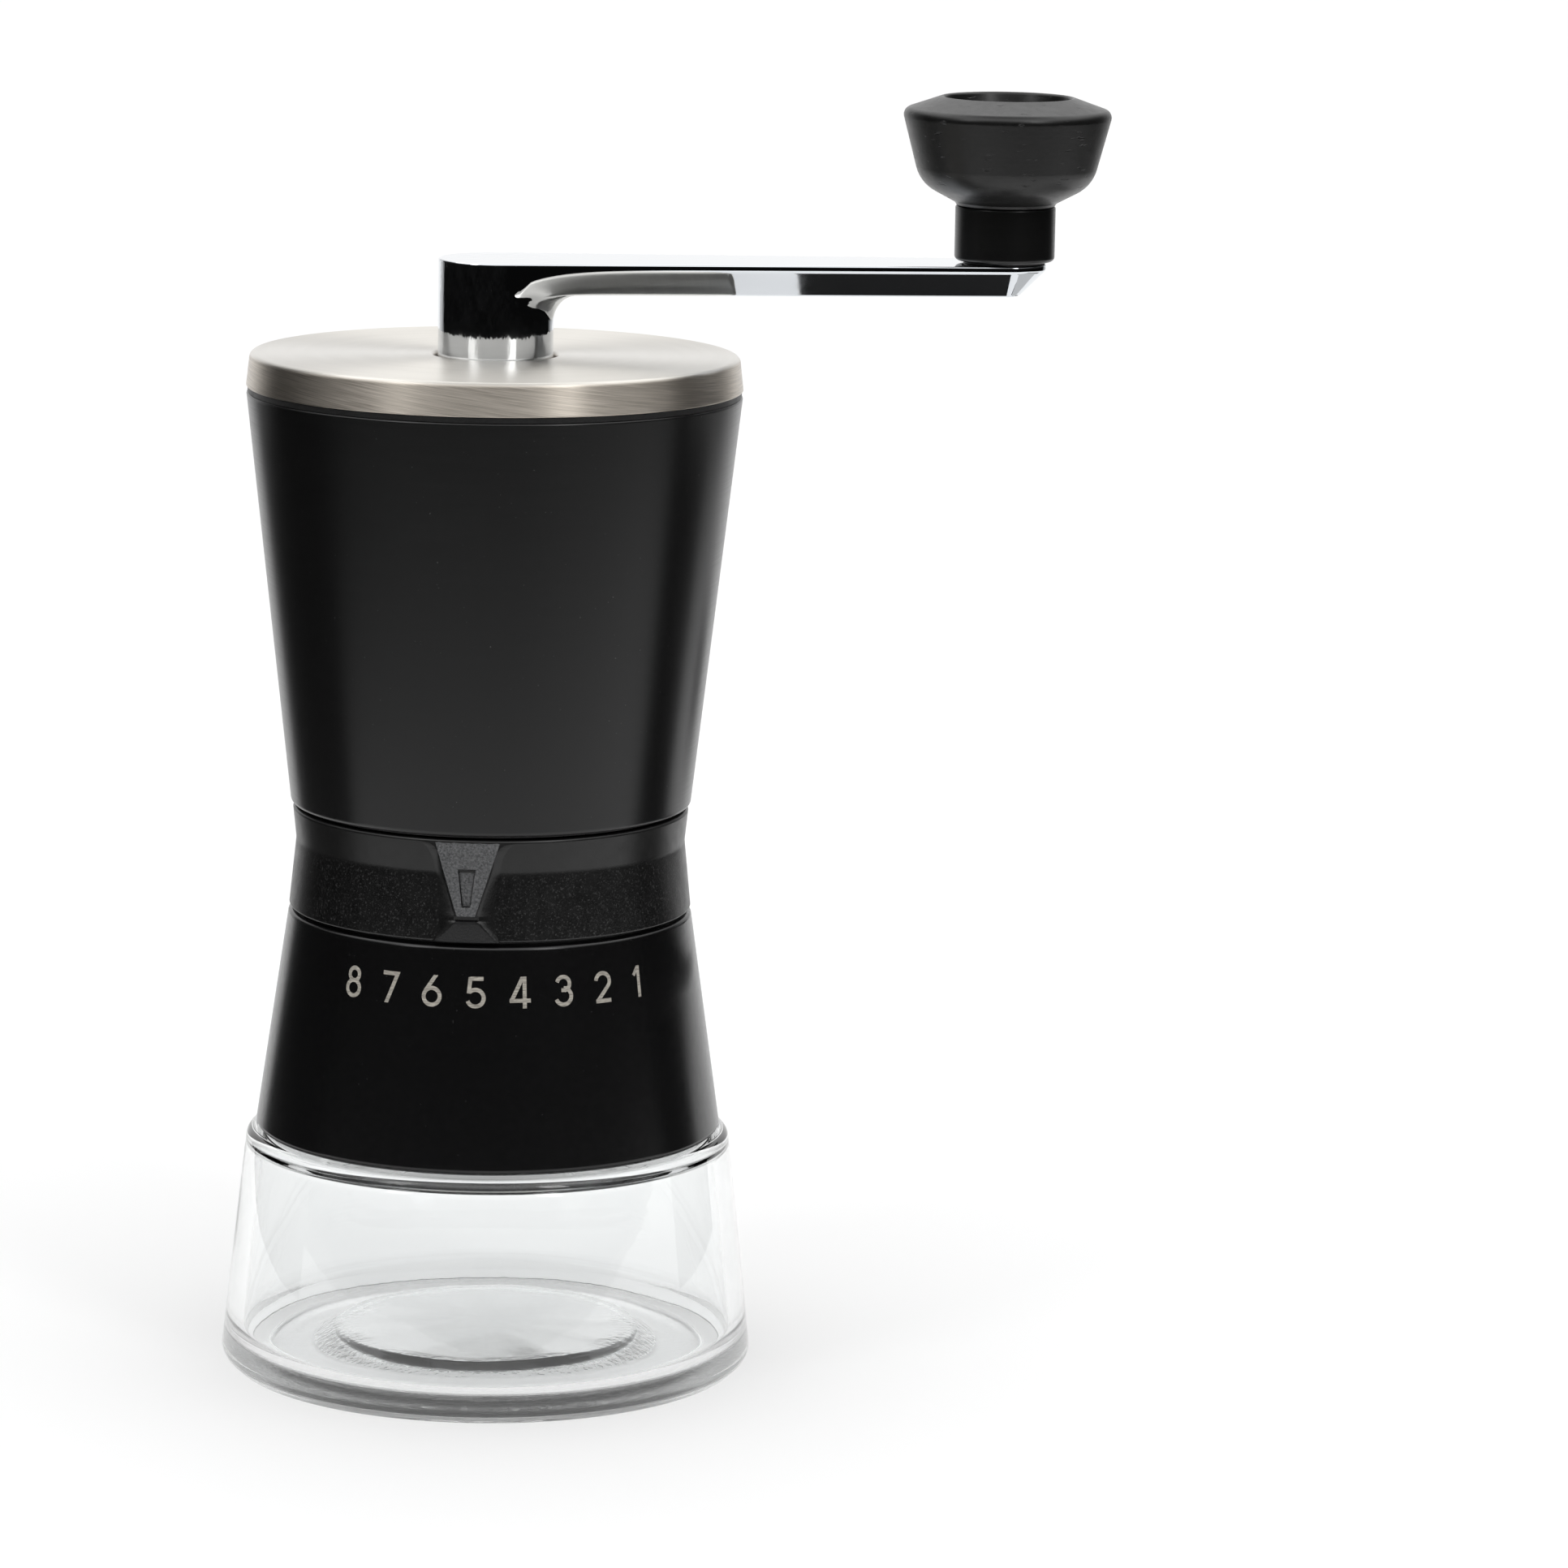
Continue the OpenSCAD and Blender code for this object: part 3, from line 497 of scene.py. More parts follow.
def chrome():
    """Mirror polish, nearly flat along the arm and a little wavy round the hub."""
    tree, shader, made = principled("polished_chrome", (0.73, 0.755, 0.785), Metallic=1.0)
    x, y, z = add(tree, "SeparateXYZ", {0: place(tree)}).outputs
    radius = from_axis(tree, x, y)
    hub = spread(tree, radius, 1, 0, HUB_R * MM, (HUB_R + 2) * MM)
    link(tree, spread(tree, cloud(tree, 500), 0.03, 0.06), shader, "Roughness")
    pull = cloud(tree, 1, 3, streaks(tree, round_scale=700, rise_scale=130))
    bump(tree, shader, (cloud(tree, 120, 1), 0.000004), (maths(tree, "MULTIPLY", pull, hub), 0.00006))
    return made


def lacquered_wood():
    """Turned wood under black lacquer: faint rings and sunken pores."""
    centre = KNOB_X * MM
    tree, shader, made = principled("black_lacquered_wood", (0.012, 0.012, 0.012), Coat_Weight=0.05,
                                    Coat_Roughness=0.25)
    tool = cloud(tree, 1, 3, streaks(tree, centre, 40, 2600))
    grain = add(tree, "Mapping", {0: place(tree), 3: (320, 320, 1500)}).outputs[0]
    pores = spread(tree, cloud(tree, 1, 3, grain), 0, 1, 0.66, 0.72)
    link(tree, tint(tree, tool, (0.004, 0.004, 0.004), (0.0075, 0.0072, 0.007)), shader, "Base Color")
    link(tree, spread(tree, cloud(tree, 700), 0.33, 0.4), shader, "Roughness")
    bump(tree, shader, (tool, 0.000006), (maths(tree, "SUBTRACT", 1.0, pores), 0.00006),
         (cloud(tree, 1500, 3), 0.000012))
    return made


def neck_plastic():
    centre = KNOB_X * MM
    tree, shader, made = principled("smooth_black_plastic", (0.008, 0.008, 0.008))
    tool = cloud(tree, 1, 2, streaks(tree, centre, 25, 4200))
    link(tree, tint(tree, tool, (0.003, 0.003, 0.003), (0.005, 0.005, 0.005)), shader, "Base Color")
    link(tree, spread(tree, tool, 0.28, 0.34), shader, "Roughness")
    bump(tree, shader, (tool, 0.000003))
    return made


def etched():
    """Bare brushed metal where the coating is etched away."""
    tree, shader, made = principled("etched_numerals", (0.45, 0.42, 0.38), Metallic=0.0)
    marks = cloud(tree, 1, 4, streaks(tree, round_scale=700, rise_scale=9000), 0.7)
    streak = spread(tree, marks, 0, 1, 0.36, 0.64)
    link(tree, tint(tree, streak, (0.17, 0.157, 0.135), (0.58, 0.545, 0.48)), shader, "Base Color")
    link(tree, spread(tree, marks, 0.45, 0.6), shader, "Roughness")
    bump(tree, shader, (marks, 0.000006))
    return made


def ceramic():
    tree, shader, made = principled("ceramic", (0.83, 0.8, 0.74))
    link(tree, tint(tree, cloud(tree, 500), (0.78, 0.75, 0.69), (0.86, 0.84, 0.78)), shader, "Base Color")
    link(tree, spread(tree, cloud(tree, 900), 0.3, 0.45), shader, "Roughness")
    bump(tree, shader, (cloud(tree, 2500), 0.000008))
    return made


MATERIALS = {
    "jar_glass": glass(),
    "silicone": silicone(),
    "black_coated_metal": coated_metal(),
    "black_plastic": moulded_plastic("black_plastic", (0.018, 0.018, 0.018), 0.42, 2600, 0.000012),
    "screw_steel": steel("screw_steel", (0.62, 0.62, 0.63), 0.3),
    "brushed_black_metal": satin_hopper(),
    "bearing_plastic": moulded_plastic("bearing_plastic", (0.7, 0.67, 0.6), 0.4, 1800, 0.000006),
    "grained_black_plastic": ring_plastic("grained_black_plastic"),
    "dark_plastic": moulded_plastic("dark_plastic", (0.035, 0.035, 0.036), 0.45, 2400, 0.00001),
    "ceramic": ceramic(),
    "shaft_steel": steel("shaft_steel", (0.6, 0.6, 0.61), 0.26, 3500),
    "polished_chrome": chrome(),
    "black_lacquered_wood": lacquered_wood(),
    "smooth_black_plastic": neck_plastic(),
    "turned_steel": turned_steel(),
}


def dress_nodes():
    """Every CAD node takes the material of its slot."""
    for entry in frame["record"]["subparts"]:
        node = frame["nodes"][entry["node"]]
        node.data.materials.clear()
        node.data.materials.append(MATERIALS[entry["material_slot"]])


# ---------------------------------------------------------------- the jar

def jar():
    """Pressed glass: base pushed up in the middle, straight cone, rounded shoulder, threaded neck."""
    wall = 2.6
    foot_r = 36.5
    floor_z = 2.8
    heel_in, heel_z = 1.9, 1.9
    shoulder_z = SKIRT_Z - 0.45
    low_inner = JAR_R - wall - 0.5
    top_inner = JAR_SHOULDER_R - wall
    neck_in = JAR_NECK_R - wall
    # The inner wall sweeps in towards the base below bend_z, by bend_in where it meets it
    bend_z, bend_in = 9.0, 6.0
    lean = (top_inner - low_inner) / (shoulder_z - floor_z)
    bend = [(low_inner + lean * (z - floor_z) - bend_in * ((bend_z - z) / (bend_z - floor_z)) ** 4, z, 0)
            for z in np.linspace(bend_z, floor_z + 0.25, 20)]
    profile = rounded([
        # The push-up under the base, then the foot
        (0, 3.8, 0), (24, 3.2, 4), (29.5, 0.9, 3), (foot_r - 1, 0.5, 1), (foot_r, 0, 0.3),
        # The heel, the outer wall and the shoulder
        (JAR_R - heel_in, 0, 1.2), (JAR_R, heel_z, 2.0),
        (JAR_SHOULDER_R + 0.1, shoulder_z, 1.7), (JAR_NECK_R, shoulder_z - 0.3, 0.3),
        # The neck, then down the inside to the base's upper face
        (JAR_NECK_R, JAR_TOP, 1.2), (neck_in, JAR_TOP, 0.8), (neck_in, shoulder_z - 0.9, 1.2),
        (top_inner, shoulder_z - 2.2, 1.7), *bend, (29, floor_z - 0.1, 2.5),
        (24.6, floor_z + 2.7, 2), (0, floor_z + 3.7, 0),
    ], step=9)
    profile = packed(profile, shoulder_z, JAR_TOP - 1, 0.35)
    pitch, ridge, thread_z, turns = 5, 0.9, JAR_TOP - 7.2, 1.1

    def shape(angle, radius, z):
        outside = radius > JAR_NECK_R - 0.05
        if outside and z > shoulder_z:
            along = (z - thread_z) / pitch
            for turn in (0, 1):
                run = angle / (2 * pi) + turn
                if run < turns:
                    fade = min(1, 8 * run, 8 * (turns - run))
                    radius += ridge * fade * max(0, 1 - ((along - run) * pitch / 1.1) ** 2) ** 2
        wave = noise.noise(Vector((cos(angle) * 2.2, sin(angle) * 2.2, z * 0.07)))
        inside = 5 < z < shoulder_z and radius < JAR_R - wall + 0.4
        if inside and radius > 30:
            radius += 0.12 * wave
        if inside and radius < 25:
            z += 0.3 * noise.noise(Vector((radius * cos(angle) * 0.08, radius * sin(angle) * 0.08, 3)))
        return radius, z

    verts, faces = turned(profile, segments=600, shape=shape)
    made = piece("jar_body", verts, faces, "jar", MATERIALS["jar_glass"], ["glass_jar"])
    made.visible_shadow = made.visible_diffuse = False


# ---------------------------------------------------------------- the skirt and its numbers

def skirt_r(z):
    return SKIRT_R + 0.1 + (SKIRT_TOP_R - SKIRT_R - 0.1) * (z - SKIRT_Z) / (SKIRT_TOP - SKIRT_Z)


def skirt():
    """Pressed shell with rounded edges, turned in at the top."""
    profile = rounded([
        (SKIRT_R - SHELL - 0.6, SKIRT_Z, 0.2), (SKIRT_R + 0.1, SKIRT_Z, 0.9),
        (SKIRT_TOP_R, SKIRT_TOP, 0.8), (SKIRT_TOP_R - 1.9, SKIRT_TOP, 0.1),
        (SKIRT_TOP_R - 1.9, SKIRT_TOP - 0.9, 0.1), (SKIRT_TOP_R - SHELL, SKIRT_TOP - 1.1, 0.4),
    ])
    verts, faces = turned(profile)
    piece("skirt_shell", verts, faces, "mill", MATERIALS["black_coated_metal"],
          ["numbered_skirt"])


STROKE = 0.63
NUMERAL_H = 5.0


def strokes(number):
    """Centre lines of a numeral, in a box 5 high whose middle is x = 0."""
    edge = STROKE / 2
    top = NUMERAL_H - edge
    if number == 1:
        return [[(-0.75, 3.55), (0.3, 4.9)], [(0.3, 5.3), (0.3, -0.3)]]
    if number == 2:
        bend = arc((0, top - 1.28), 1.28, 172, -32, 14)
        return [bend + [(-1.15, edge)], [(-1.4, edge), (1.4, edge)]]
    if number == 3:
        upper = arc((0, top - 1.08), 1.08, 165, -80, 14)
        lower = arc((0, edge + 1.3), 1.3, 88, -160, 16)
        return [upper, lower, [(-0.35, 2.62), (0.25, 2.62)]]
    if number == 4:
        return [[(0.62, 5.4), (-1.5, 1.05)], [(-1.7, 1.22), (1.65, 1.22)], [(0.68, 5.3), (0.68, -0.3)]]
    if number == 5:
        bowl = arc((-0.05, edge + 1.32), 1.32, 138, -158, 18)
        return [[(-0.9, top), (1.2, top)], [(-0.88, 4.9), (-1.12, 2.35)], bowl]
    if number == 6:
        bowl = arc((0, edge + 1.32), 1.32, 0, 180, 16)
        return [bowl, arc((0, edge + 1.32), 1.32, 180, 360, 16), [(0.75, 5.3), (-1.12, 2.4)]]
    if number == 7:
        return [[(-1.45, top), (1.3, top)], [(1.3, 5.2), (-0.75, -0.4)]]
    upper, lower = (0, top - 0.98), (0, edge + 1.22)
    return [arc(upper, 0.98, 0, 180, 14), arc(upper, 0.98, 180, 360, 14),
            arc(lower, 1.22, 0, 180, 16), arc(lower, 1.22, 180, 360, 16)]


def ribbon(line):
    """Outline of a stroke of constant width along a centre line, with square ends."""
    points = [Vector(p) for p in line]
    left, right = [], []
    for i, here in enumerate(points):
        before = (here - points[i - 1]).normalized() if i else None
        after = (points[i + 1] - here).normalized() if i < len(points) - 1 else None
        way = ((before or after) + (after or before)).normalized()
        across = Vector((-way.y, way.x))
        wide = STROKE / 2 / max(0.3, (before or after).dot(way))
        left.append(here + across * wide)
        right.append(here - across * wide)
    return right + left[::-1]


def numerals():
    """The numbers 1 to 8, etched through the coating: thin plates bent to the cone."""
    base_z, rise, sunk = 66.0, 0.02, 0.15
    slice_w = 0.35
    work = bmesh.new()
    for number in range(1, 9):
        points, outlines = [], []
        for line in strokes(number):
            outline = ribbon(line)
            outlines.append(list(range(len(points), len(points) + len(outline))))
            points += outline
        flat, _, cells, _, _, owners = geometry.delaunay_2d_cdt(points, [], outlines, 1, 1e-5)
        digit = bmesh.new()
        made = [digit.verts.new((p.x, p.y, 0)) for p in flat]
        for cell, owner in zip(cells, owners):
            if owner:
                digit.faces.new([made[i] for i in cell])
        for height, way in ((0, -1), (NUMERAL_H, 1)):
            bmesh.ops.bisect_plane(digit, geom=digit.verts[:] + digit.edges[:] + digit.faces[:],
                                   plane_co=(0, height, 0), plane_no=(0, way, 0), clear_outer=True)
        for i in range(-6, 7):
            bmesh.ops.bisect_plane(digit, geom=digit.verts[:] + digit.edges[:] + digit.faces[:],
                                   plane_co=(i * slice_w, 0, 0), plane_no=(1, 0, 0))
        side = bmesh.ops.extrude_face_region(digit, geom=digit.faces[:])
        for v in side["geom"]:
            if isinstance(v, bmesh.types.BMVert):
                v.co.z = 1
        loose = [v for v in digit.verts if not v.link_faces]
        bmesh.ops.delete(digit, geom=loose, context="VERTS")
        angle = radians((4.5 - number) * NUMBER_STEP)
        middle = skirt_r(base_z + NUMERAL_H / 2)
        for v in digit.verts:
            turn = angle + v.co.x / middle
            height = base_z + v.co.y
            radius = skirt_r(height) + (rise if v.co.z > 0.5 else -sunk)
            v.co = Vector((radius * sin(turn), -radius * cos(turn), height))
        offset = len(work.verts)
        for v in digit.verts:
            work.verts.new(v.co)
        work.verts.ensure_lookup_table()
        digit.verts.index_update()
        for f in digit.faces:
            work.faces.new([work.verts[offset + v.index] for v in f.verts])
        digit.free()
    work.verts.index_update()
    verts = [tuple(v.co) for v in work.verts]
    faces = [[v.index for v in f.verts] for f in work.faces]
    work.free()
    piece("skirt_numerals", verts, faces, "mill", etched())


# ---------------------------------------------------------------- the setting ring

def ring_r(z):
    """Outer radius of the plain ring at a height."""
    waist_z = RING_Z + 10.9
    if z < waist_z:
        return RING_R + (RING_WAIST_R - RING_R) * (z - RING_Z) / (waist_z - RING_Z)
    return RING_WAIST_R + (RING_LIP_R - RING_WAIST_R) * (z - waist_z) / (RING_TOP - waist_z)


def ring():
    """Lower band that leans in to a soft waist, then a smooth flare to a thin lip."""
    waist_z = RING_Z + 10.9
    profile = rounded([
        (RING_BORE_R, RING_Z, 0.1), (RING_R + 0.02, RING_Z, 0.35), (RING_WAIST_R, waist_z, 2.5),
        (RING_LIP_R + 0.02, RING_TOP, 0.45), (RING_BORE_R, RING_TOP, 0.1),
    ], step=10)
    verts, faces = turned(profile, segments=240)
    piece("ring_body", verts, faces, "ring",
          MATERIALS["grained_black_plastic"], ["setting_ring"])


def pointer():
    """Raised tongue with a slot, over a flared foot: a grid whose lines follow their edges, closed at
    the back inside the ring."""
    top, low = RING_TOP - 0.4, RING_Z + 0.12
    tip, ridge = TONGUE_TIP_Z, RING_Z + 3.5
    slot_low, slot_top = SLOT_LOW_Z, SLOT_TOP_Z
    slot_deep, wall, corner, sunk, back_r = 0.5, 0.1, 0.35, 0.4, 30.5
    half = [(low, 5.0), (ridge, 1.6), (tip, TONGUE_TIP), (TONGUE_TOP_Z, TONGUE_TOP),
            (top - 0.9, 5.1), (top - 0.45, 5.7), (top - 0.15, 6.6), (top, 7.6)]
    base = [(low, 5.4), (low + 1.5, 4.9), (tip + 1, 4.75), (RING_Z + 10, 5.1), (top - 2.5, 5.9),
            (top - 1, 6.9), (top - 0.3, 8.2), (top, 9.2)]
    face = [(low, 33.0), (ridge - 0.4, 33.0), (ridge - 0.15, 32.93), (ridge, 32.7), (ridge + 0.08, 32.45),
            (tip - 0.1, 32.5), (tip, 33.3), (tip + 0.06, 33.4), (top - 1.3, 32.4), (top, ring_r(top))]
    flank = [(low, 33.0), (ridge - 0.3, 33.0), (ridge + 0.4, 32.85), (tip + 0.8, 32.95), (top - 1.3, 32.35),
             (top, ring_r(top))]
    rows = np.concatenate([
        np.linspace(low, ridge - 0.5, 6), [ridge - 0.4, ridge - 0.25, ridge - 0.15, ridge - 0.07, ridge],
        [ridge + 0.08, ridge + 0.2, tip - 0.2, tip - 0.1, tip, tip + 0.06, tip + 0.12],
        np.linspace(tip + 0.4, slot_low - 0.06, 4), [slot_low, slot_low + wall * 0.5, slot_low + wall],
        np.linspace(slot_low + 0.16, slot_low + 0.5, 4), np.linspace(slot_low + 1, slot_top - 1, 8),
        np.linspace(slot_top - 0.66, slot_top - 0.06, 6), [slot_top],
        np.linspace(slot_top + 0.06, top - 1.6, 7), np.linspace(top - 1.5, top, 12),
    ])
    slope = 1 - np.linspace(0, 1, 12) ** 1.5
    verts, back = [], []
    for z in rows:
        edge, foot = (np.interp(z, *np.transpose(line)) for line in (half, base))
        slot = np.interp(z, [tip, slot_low, slot_top, top], [0.45, SLOT_LOW, SLOT_TOP, 2.2])
        inset = corner - min(z - slot_low, slot_top - z)
        if 0 < inset < corner:
            slot -= corner - sqrt(corner ** 2 - inset ** 2)
        out, side = (np.interp(z, *np.transpose(line)) for line in (face, flank))
        ground = ring_r(z)
        deep = slot_deep * np.clip(min((z - slot_low) / wall, (slot_top - z) / 0.6), 0, 1)
        right = [(foot + 0.5, ground - sunk), (foot, ground)]
        for t in slope[1:]:
            cove = ground + (side - ground) * (1 - t) ** 1.6 + (out - side) * exp(-40 * t)
            right.append((edge + (foot - edge) * t, cove))
        right += [(edge - 0.05, out), (edge - 0.12, out), ((edge + slot) / 2, out), (slot + 0.05, out),
                  (slot, out), (slot - wall, out - deep), (slot - wall - 0.05, out - deep)]
        line = right + [(0, out - deep)] + [(-s, r) for s, r in right[::-1]]
        for s, r in line:
            turn = radians(POINTER_ANGLE) + s / RING_R
            verts.append((r * sin(turn), -r * cos(turn), z))
            back.append((back_r * sin(turn), -back_r * cos(turn), z))
    wide, tall = len(line), len(rows)
    offset = len(verts)
    faces = []
    for i in range(tall - 1):
        for j in range(wide - 1):
            quad = [i * wide + j, i * wide + j + 1, (i + 1) * wide + j + 1, (i + 1) * wide + j]
            faces += [quad, [offset + v for v in quad[::-1]]]
    loop = list(range(wide)) + [i * wide + wide - 1 for i in range(1, tall)]
    loop += [(tall - 1) * wide + j for j in range(wide - 2, -1, -1)]
    loop += [i * wide for i in range(tall - 2, 0, -1)]
    for a, b in zip(loop, loop[1:] + loop[:1]):
        faces.append([b, a, offset + a, offset + b])
    piece("ring_pointer", verts + back, faces, "ring",
          ring_plastic("grained_pointer", True))


# ---------------------------------------------------------------- the hopper and the lid

def hopper():
    """Conical shell with rounded edges."""
    profile = rounded([
        (HOPPER_LOW_R - SHELL - 0.3, HOPPER_Z, 0.1), (HOPPER_LOW_R, HOPPER_Z, 0.9),
        (HOPPER_R, HOPPER_TOP, 0.35), (HOPPER_R - SHELL, HOPPER_TOP, 0.2),
        (HOPPER_LOW_R - SHELL, HOPPER_Z + 1.2, 0.2),
    ])
    verts, faces = turned(profile, segments=240)
    piece("hopper_body", verts, faces, "mill",
          MATERIALS["brushed_black_metal"], ["hopper_shell"])


def lid():
    """Pressed steel cover, turned in at its hole."""
    thick = 0.85
    hub_lip = 2.1
    profile = rounded([
        (LID_R - thick, LID_Z, 0.15), (LID_R, LID_Z, 0.2), (LID_R - 0.6, LID_TOP, 0.9),
        (LID_HOLE_R, LID_TOP, 0.7), (LID_HOLE_R, LID_TOP - hub_lip, 0),
        (LID_HOLE_R + thick, LID_TOP - hub_lip, 0),
        (LID_HOLE_R + thick, LID_TOP - thick, 0), (LID_R - 0.6 - thick, LID_TOP - thick, 0.3),
    ], step=9)
    verts, faces = turned(profile, segments=288)
    piece("lid_steel_cover", verts, faces, "lid", MATERIALS["turned_steel"], ["lid_cover"])


# ---------------------------------------------------------------- the crank

def smooth_max(a, b, k):
    return np.maximum(a, b) + np.maximum(k - np.abs(a - b), 0) ** 2 / (4 * np.maximum(k, 1e-6))


def crank():
    """Hub and arm as one skin: level outlines from the arm's top down the hub. The arm's sides drop
    straight for a short way, further beside the hub, then slope in, and run into the hub through a fillet."""
    tip_r, length = 6.8, KNOB_X
    slope_in, edge, bend, low_edge = 4.4, 0.28, 0.35, 0.45
    fillet, blend, nose = 4.6, 3.2, 5.4
    arm_z = ARM_TOP - ARM_T
    lean = asin((HUB_R - tip_r) / length)
    side = pi / 2 - lean
    share = (np.arange(48) / 48) ** 1.8
    columns = [(1.0, a) for a in np.linspace(-side, side, 33)[:-1]]
    columns += [(1 - t, side) for t in 1 - share[::-1]]
    columns += [(0.0, a) for a in np.linspace(side, 2 * pi - side, 65)[:-1]]
    columns += [(t, -side) for t in share]
    station = np.array([c[0] for c in columns])
    facing = np.array([c[1] for c in columns])
    centre = np.stack([station * length, 0 * station], 1)
    normal = np.stack([np.cos(facing), np.sin(facing)], 1)
    reach = HUB_R + (tip_r - HUB_R) * station
    outline = centre + normal * reach[:, None]
    soft = np.clip((np.hypot(*outline.T) - HUB_R - 2) / 6, 0, 1)
    # Along the arm: distance past the nose, and how far short of it a column is, from 0 to 1
    past, short = np.maximum(outline[:, 0] - nose, 0), np.clip((nose - outline[:, 0]) / 2.2, 0, 1)
    # The upright band's depth, how far in the slope has come at the underside, and its steepness
    band = 1.0 + 1.9 * np.exp(-past / 6) + (ARM_T - 2.9) * short ** 1.3
    under = (slope_in - 2.8 * np.exp(-past / 5)) * (1 - short)
    slope = under / np.maximum(ARM_T - band, 0.2)
    under = under + 0.4 * short
    start = np.minimum(band, ARM_T - low_edge - bend - 0.1)
    spread_out = 0.12 + 0.6 * np.clip((outline[:, 0] - 3) / 2.5, 0, 1)
    none = 0 * station
    rows = []

    def level(z, inset, hub_inset=0.0, limit=None):
        points = centre + normal * (reach - inset)[:, None]
        radius = wide = np.hypot(*points.T)
        soft_k = np.clip(inset - hub_inset - 0.5, 0, blend)
        if limit is not None:
            room = limit - HUB_R
            wide = -smooth_max(-radius, np.full_like(radius, -limit), min(0.8, room))
            soft_k = np.minimum(soft_k, room)
        wide = smooth_max(wide, HUB_R - hub_inset, soft_k)
        flat = points / radius[:, None] * wide[:, None]
        rows.append([(x, y, h) for (x, y), h in zip(flat, none + z)])

    level(ARM_TOP, none + edge + GUARD, edge + GUARD)
    for a in np.linspace(0, pi / 2, 5):
        inset = edge * (1 - sin(a))
        level(ARM_TOP - edge * (1 - cos(a)), none + inset, inset)
    level(ARM_TOP - edge - GUARD, none)

    def sloped(drop):
        over = drop - band
        bent = slope * np.where(over < bend, np.maximum(over + bend, 0) ** 2 / (4 * bend), over)
        return bent + 0.4 * short * (drop / ARM_T) ** 2

    for t in (0, 0.25, 0.5, 0.75, 1.0):
        drop = start - bend * (1 - 2 * t)
        level(ARM_TOP - drop, sloped(drop))
    for t in (0.3, 0.6, 1.0):
        drop = start + bend + (ARM_T - low_edge - start - bend) * t
        level(ARM_TOP - drop, sloped(drop))
    for t in (0.25, 0.5, 0.75, 1.0):
        z = arm_z + low_edge * (1 - t) ** 1.6
        level(z, sloped(ARM_TOP - z) + soft * 0.5 * t ** 2)
    level(arm_z, under + soft * (0.5 + 2 * GUARD))
    for a in np.linspace(pi / 2, 0, 11):
        z = arm_z - fillet * (1 - sin(a))
        level(z, under + spread_out * (arm_z - z) + soft * 0.5, 0, HUB_R + fillet * (1 - cos(a)))
    return rows


def crank_mesh():
    """The crank's skin with its hub's lower end and bore."""
    rows = crank()
    count = len(rows[0])
    arm_z = ARM_TOP - ARM_T
    bore, bore_top, edge = 6.5, HUB_Z + 21, 0.4
    around = [atan2(y, x) for x, y, _ in rows[-1]]
    for r, z in ((HUB_R, arm_z - 5.2), (HUB_R, HUB_Z + edge + GUARD), (HUB_R, HUB_Z + edge),
                 (HUB_R - edge * 0.3, HUB_Z + edge * 0.3), (HUB_R - edge, HUB_Z),
                 (bore + GUARD, HUB_Z), (bore, HUB_Z), (bore, HUB_Z + GUARD), (bore, bore_top)):
        rows.append([(r * cos(a), r * sin(a), z) for a in around])
    verts = [p for row in rows for p in row]
    faces = [list(range(count))]
    for i in range(len(rows) - 1):
        for j in range(count):
            k = (j + 1) % count
            faces.append([i * count + j, i * count + k, (i + 1) * count + k, (i + 1) * count + j])
    faces.append([(len(rows) - 1) * count + j for j in range(count)])
    piece("crank_body", verts, faces, "crank", MATERIALS["polished_chrome"], ["crank_arm"])


# ---------------------------------------------------------------- the knob

def knob():
    """Turned bowl: steep flared side, soft shoulder, sloping top and a deep dish."""
    bore, pocket_r = 5.0, 6.0
    base = 7.9
    recess_r, recess = 6.9, 0.9
    profile = rounded([
        (bore, BOWL_Z, 0), (base, BOWL_Z, 0.1), (base + 0.3, BOWL_Z + 0.5, 0.9), (13.9, BOWL_Z + 3.5, 6.0),
        (BOWL_R + 0.3, BOWL_TOP - 2.35, 1.35), (10.3, BOWL_TOP, 0.5), (9.4, BOWL_TOP - 3.5, 4),
        (8.4, BOWL_Z + 7.8, 2.2), (pocket_r, BOWL_Z + 7.4, 0.3), (pocket_r, BOWL_Z + 5.6, 0),
        (bore, BOWL_Z + 5.6, 0),
    ], step=7)
    verts, faces = turned(profile, KNOB_X, 160)
    piece("knob_turned_bowl", verts, faces, "knob",
          MATERIALS["black_lacquered_wood"], ["knob_bowl"])
    sleeve = rounded([
        (bore, NECK_Z + recess, 0), (recess_r, NECK_Z + recess, 0), (recess_r, NECK_Z, 0.2),
        (NECK_R, NECK_Z, 0.8), (NECK_R, NECK_TOP, 0.35), (bore, NECK_TOP, 0),
    ])
    verts, faces = turned(sleeve, KNOB_X, 128)
    piece("knob_sleeve", verts, faces, "knob",
          MATERIALS["smooth_black_plastic"], ["knob_neck"])


# ---------------------------------------------------------------- studio

def panel(name, place_at, strength):
    """A soft area light, aimed at the middle of the object."""
    data = bpy.data.lights.new(name, "AREA")
    data.shape = "RECTANGLE"
    data.size, data.size_y = 0.22, 0.5
    data.energy = strength
    made = bpy.data.objects.new(name, data)
    made.location = place_at
    made.rotation_euler = (Vector((0, 0, 0.1)) - Vector(place_at)).to_track_quat("-Z", "Y").to_euler()
    bpy.context.scene.collection.objects.link(made)


def sheet(name, corners, material):
    """A flat prop of the studio."""
    mesh = bpy.data.meshes.new(name)
    mesh.from_pydata(corners, [], [list(range(len(corners)))])
    made = bpy.data.objects.new(name, mesh)
    bpy.context.scene.collection.objects.link(made)
    mesh.materials.append(material)
    return made


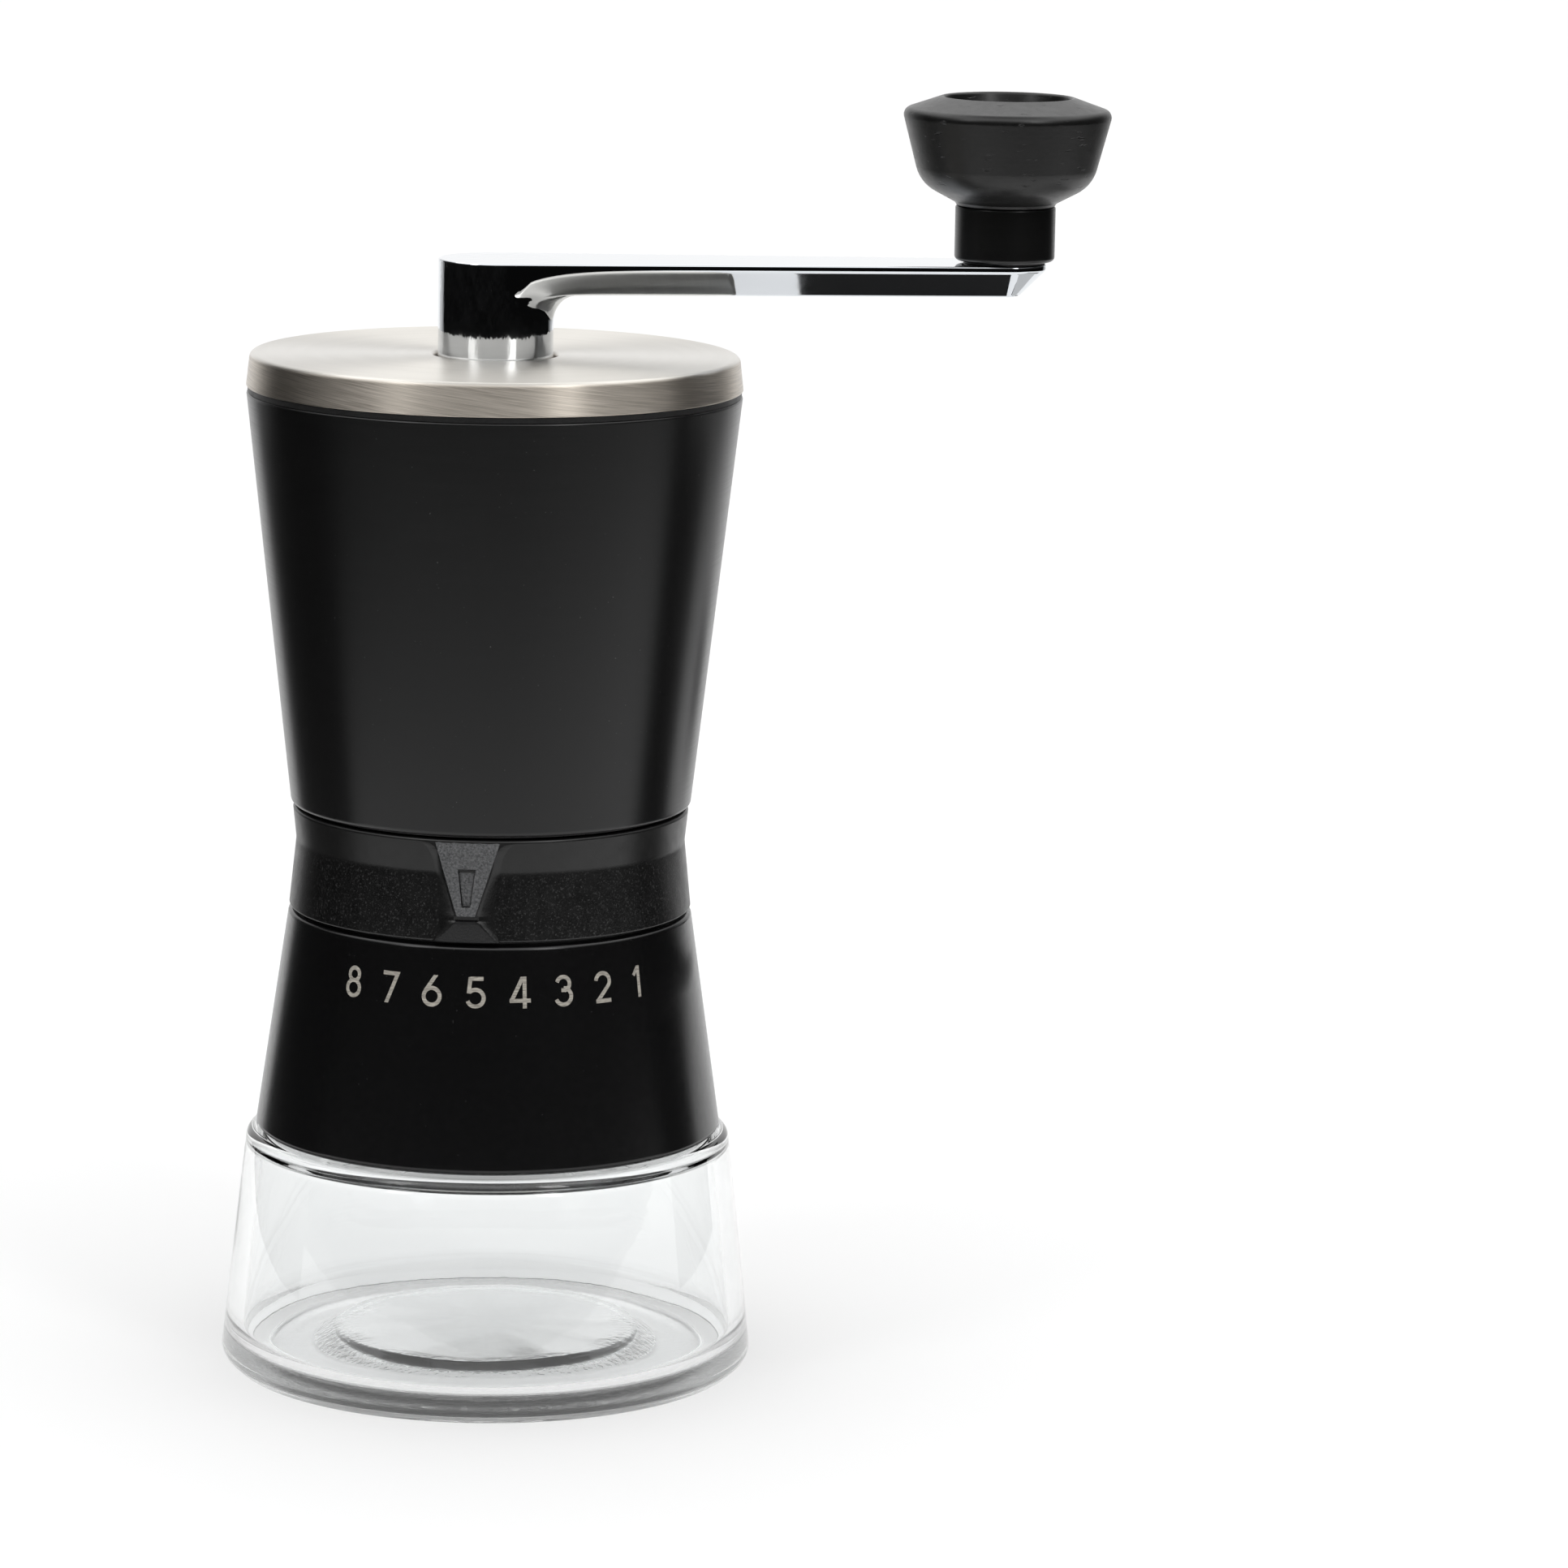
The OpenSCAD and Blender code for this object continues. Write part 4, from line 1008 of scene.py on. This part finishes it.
def sky():
    """White overhead and behind the object, dark at its sides and front. The camera sees white, and
    light that has come through glass sees pale grey."""
    world = bpy.data.worlds.new("studio")
    bpy.context.scene.world = world
    world.use_nodes = True
    tree = world.node_tree
    x, y, z = add(tree, "SeparateXYZ", {0: add(tree, "TexCoord").outputs["Generated"]}).outputs
    light = tint(tree, spread(tree, z, 0, 1, -0.12, 0.02), (0.003, 0.003, 0.003), (0.026, 0.026, 0.026))
    for part, grey in ((spread(tree, y, 0, 1, 0.6, 0.97), 1.05),
                       (spread(tree, z, 0, 1, 0.4, 0.75), 1.95),
                       (spread(tree, z, 0, 1, 0.86, 0.97), 0.6)):
        light = blended(tree, part, light, (grey, grey, grey))
    path = add(tree, "LightPath")
    away = spread(tree, maths(tree, "MAXIMUM", y, z), 0, 1, -0.4, 0.6)
    outlook = tint(tree, away, (0.5, 0.55, 0.58), (0.95, 0.95, 0.95))
    light = blended(tree, path.outputs["Is Transmission Ray"], light, outlook)
    seen = blended(tree, path.outputs["Is Camera Ray"], light, (1.05, 1.05, 1.05))
    tree.links.new(seen, tree.nodes["Background"].inputs[0])


def matt(name, dark, light, scale, rough=1):
    """A matt grey for the studio's props."""
    tree, shader, made = principled(name, (dark, dark, dark), Roughness=rough)
    link(tree, tint(tree, cloud(tree, scale), (dark,) * 3, (light,) * 3), shader, "Base Color")
    return made


def floor():
    """A pale floor, cut short and round in front so that the hopper's lower half reflects dark."""
    left = [(0.3 * x, 0.3 * y, 0) for x, y in arc((0, 0), 1, 180, 270, 24)]
    right = [(0.5 * x, 0.3 * y, 0) for x, y in arc((0, 0), 1, 273, 345, 24)]
    behind = [(0.5, 1.2, 0), (2.5, 2, 0), (2.5, 4, 0), (-2.5, 4, 0), (-2.5, 2, 0), (-0.3, 1.2, 0)]
    sheet("floor", left + right + behind, matt("paper", 0.9, 0.91, 3, 0.9))


def card(name, corners, material):
    """A card that only reflections see."""
    made = sheet(name, corners, material)
    made.visible_camera = made.visible_shadow = False
    made.visible_diffuse = made.visible_transmission = False


def cards():
    """Black cards at the sides and under the arm, and a grey one under the arm's tip. They put the
    dark and light patches on the chrome, the black shells and the jar."""
    black = matt("black_card", 0.002, 0.004, 30)
    for name, x, near, far, low, high in (("left_card", -0.14, -0.02, 0.17, 0.005, 0.13),
                                          ("left_strip", -0.14, 0.055, 0.13, 0.165, 0.35),
                                          ("right_card", 0.15, -0.02, 0.058, 0.005, 0.13),
                                          ("right_low_card", 0.15, 0.11, 0.18, 0.055, 0.085)):
        card(name, [(x, near, low), (x, far, low), (x, far, high), (x, near, high)], black)
    card("low_card", [(0.062, -0.02, 0.06), (0.107, -0.02, 0.06), (0.103, 0.05, 0.06),
                      (0.062, 0.05, 0.06)], black)
    card("tip_card", [(0.0985, -0.012, 0.14), (0.13, -0.012, 0.14), (0.13, 0.03, 0.14),
                      (0.0985, 0.03, 0.14)], matt("grey_card", 0.5, 0.55, 30))


def studio():
    """Floor, world, cards that only reflections see, and two soft lights."""
    sky()
    floor()
    cards()
    panel("right_light", (0.5, -0.79, 0.7), 1.6)
    panel("left_light", (-0.66, -0.55, 0.7), 0.9)
    bpy.context.scene.view_settings.view_transform = "Standard"


camera()
dress_nodes()
jar()
skirt()
numerals()
ring()
pointer()
hopper()
lid()
crank_mesh()
knob()
studio()
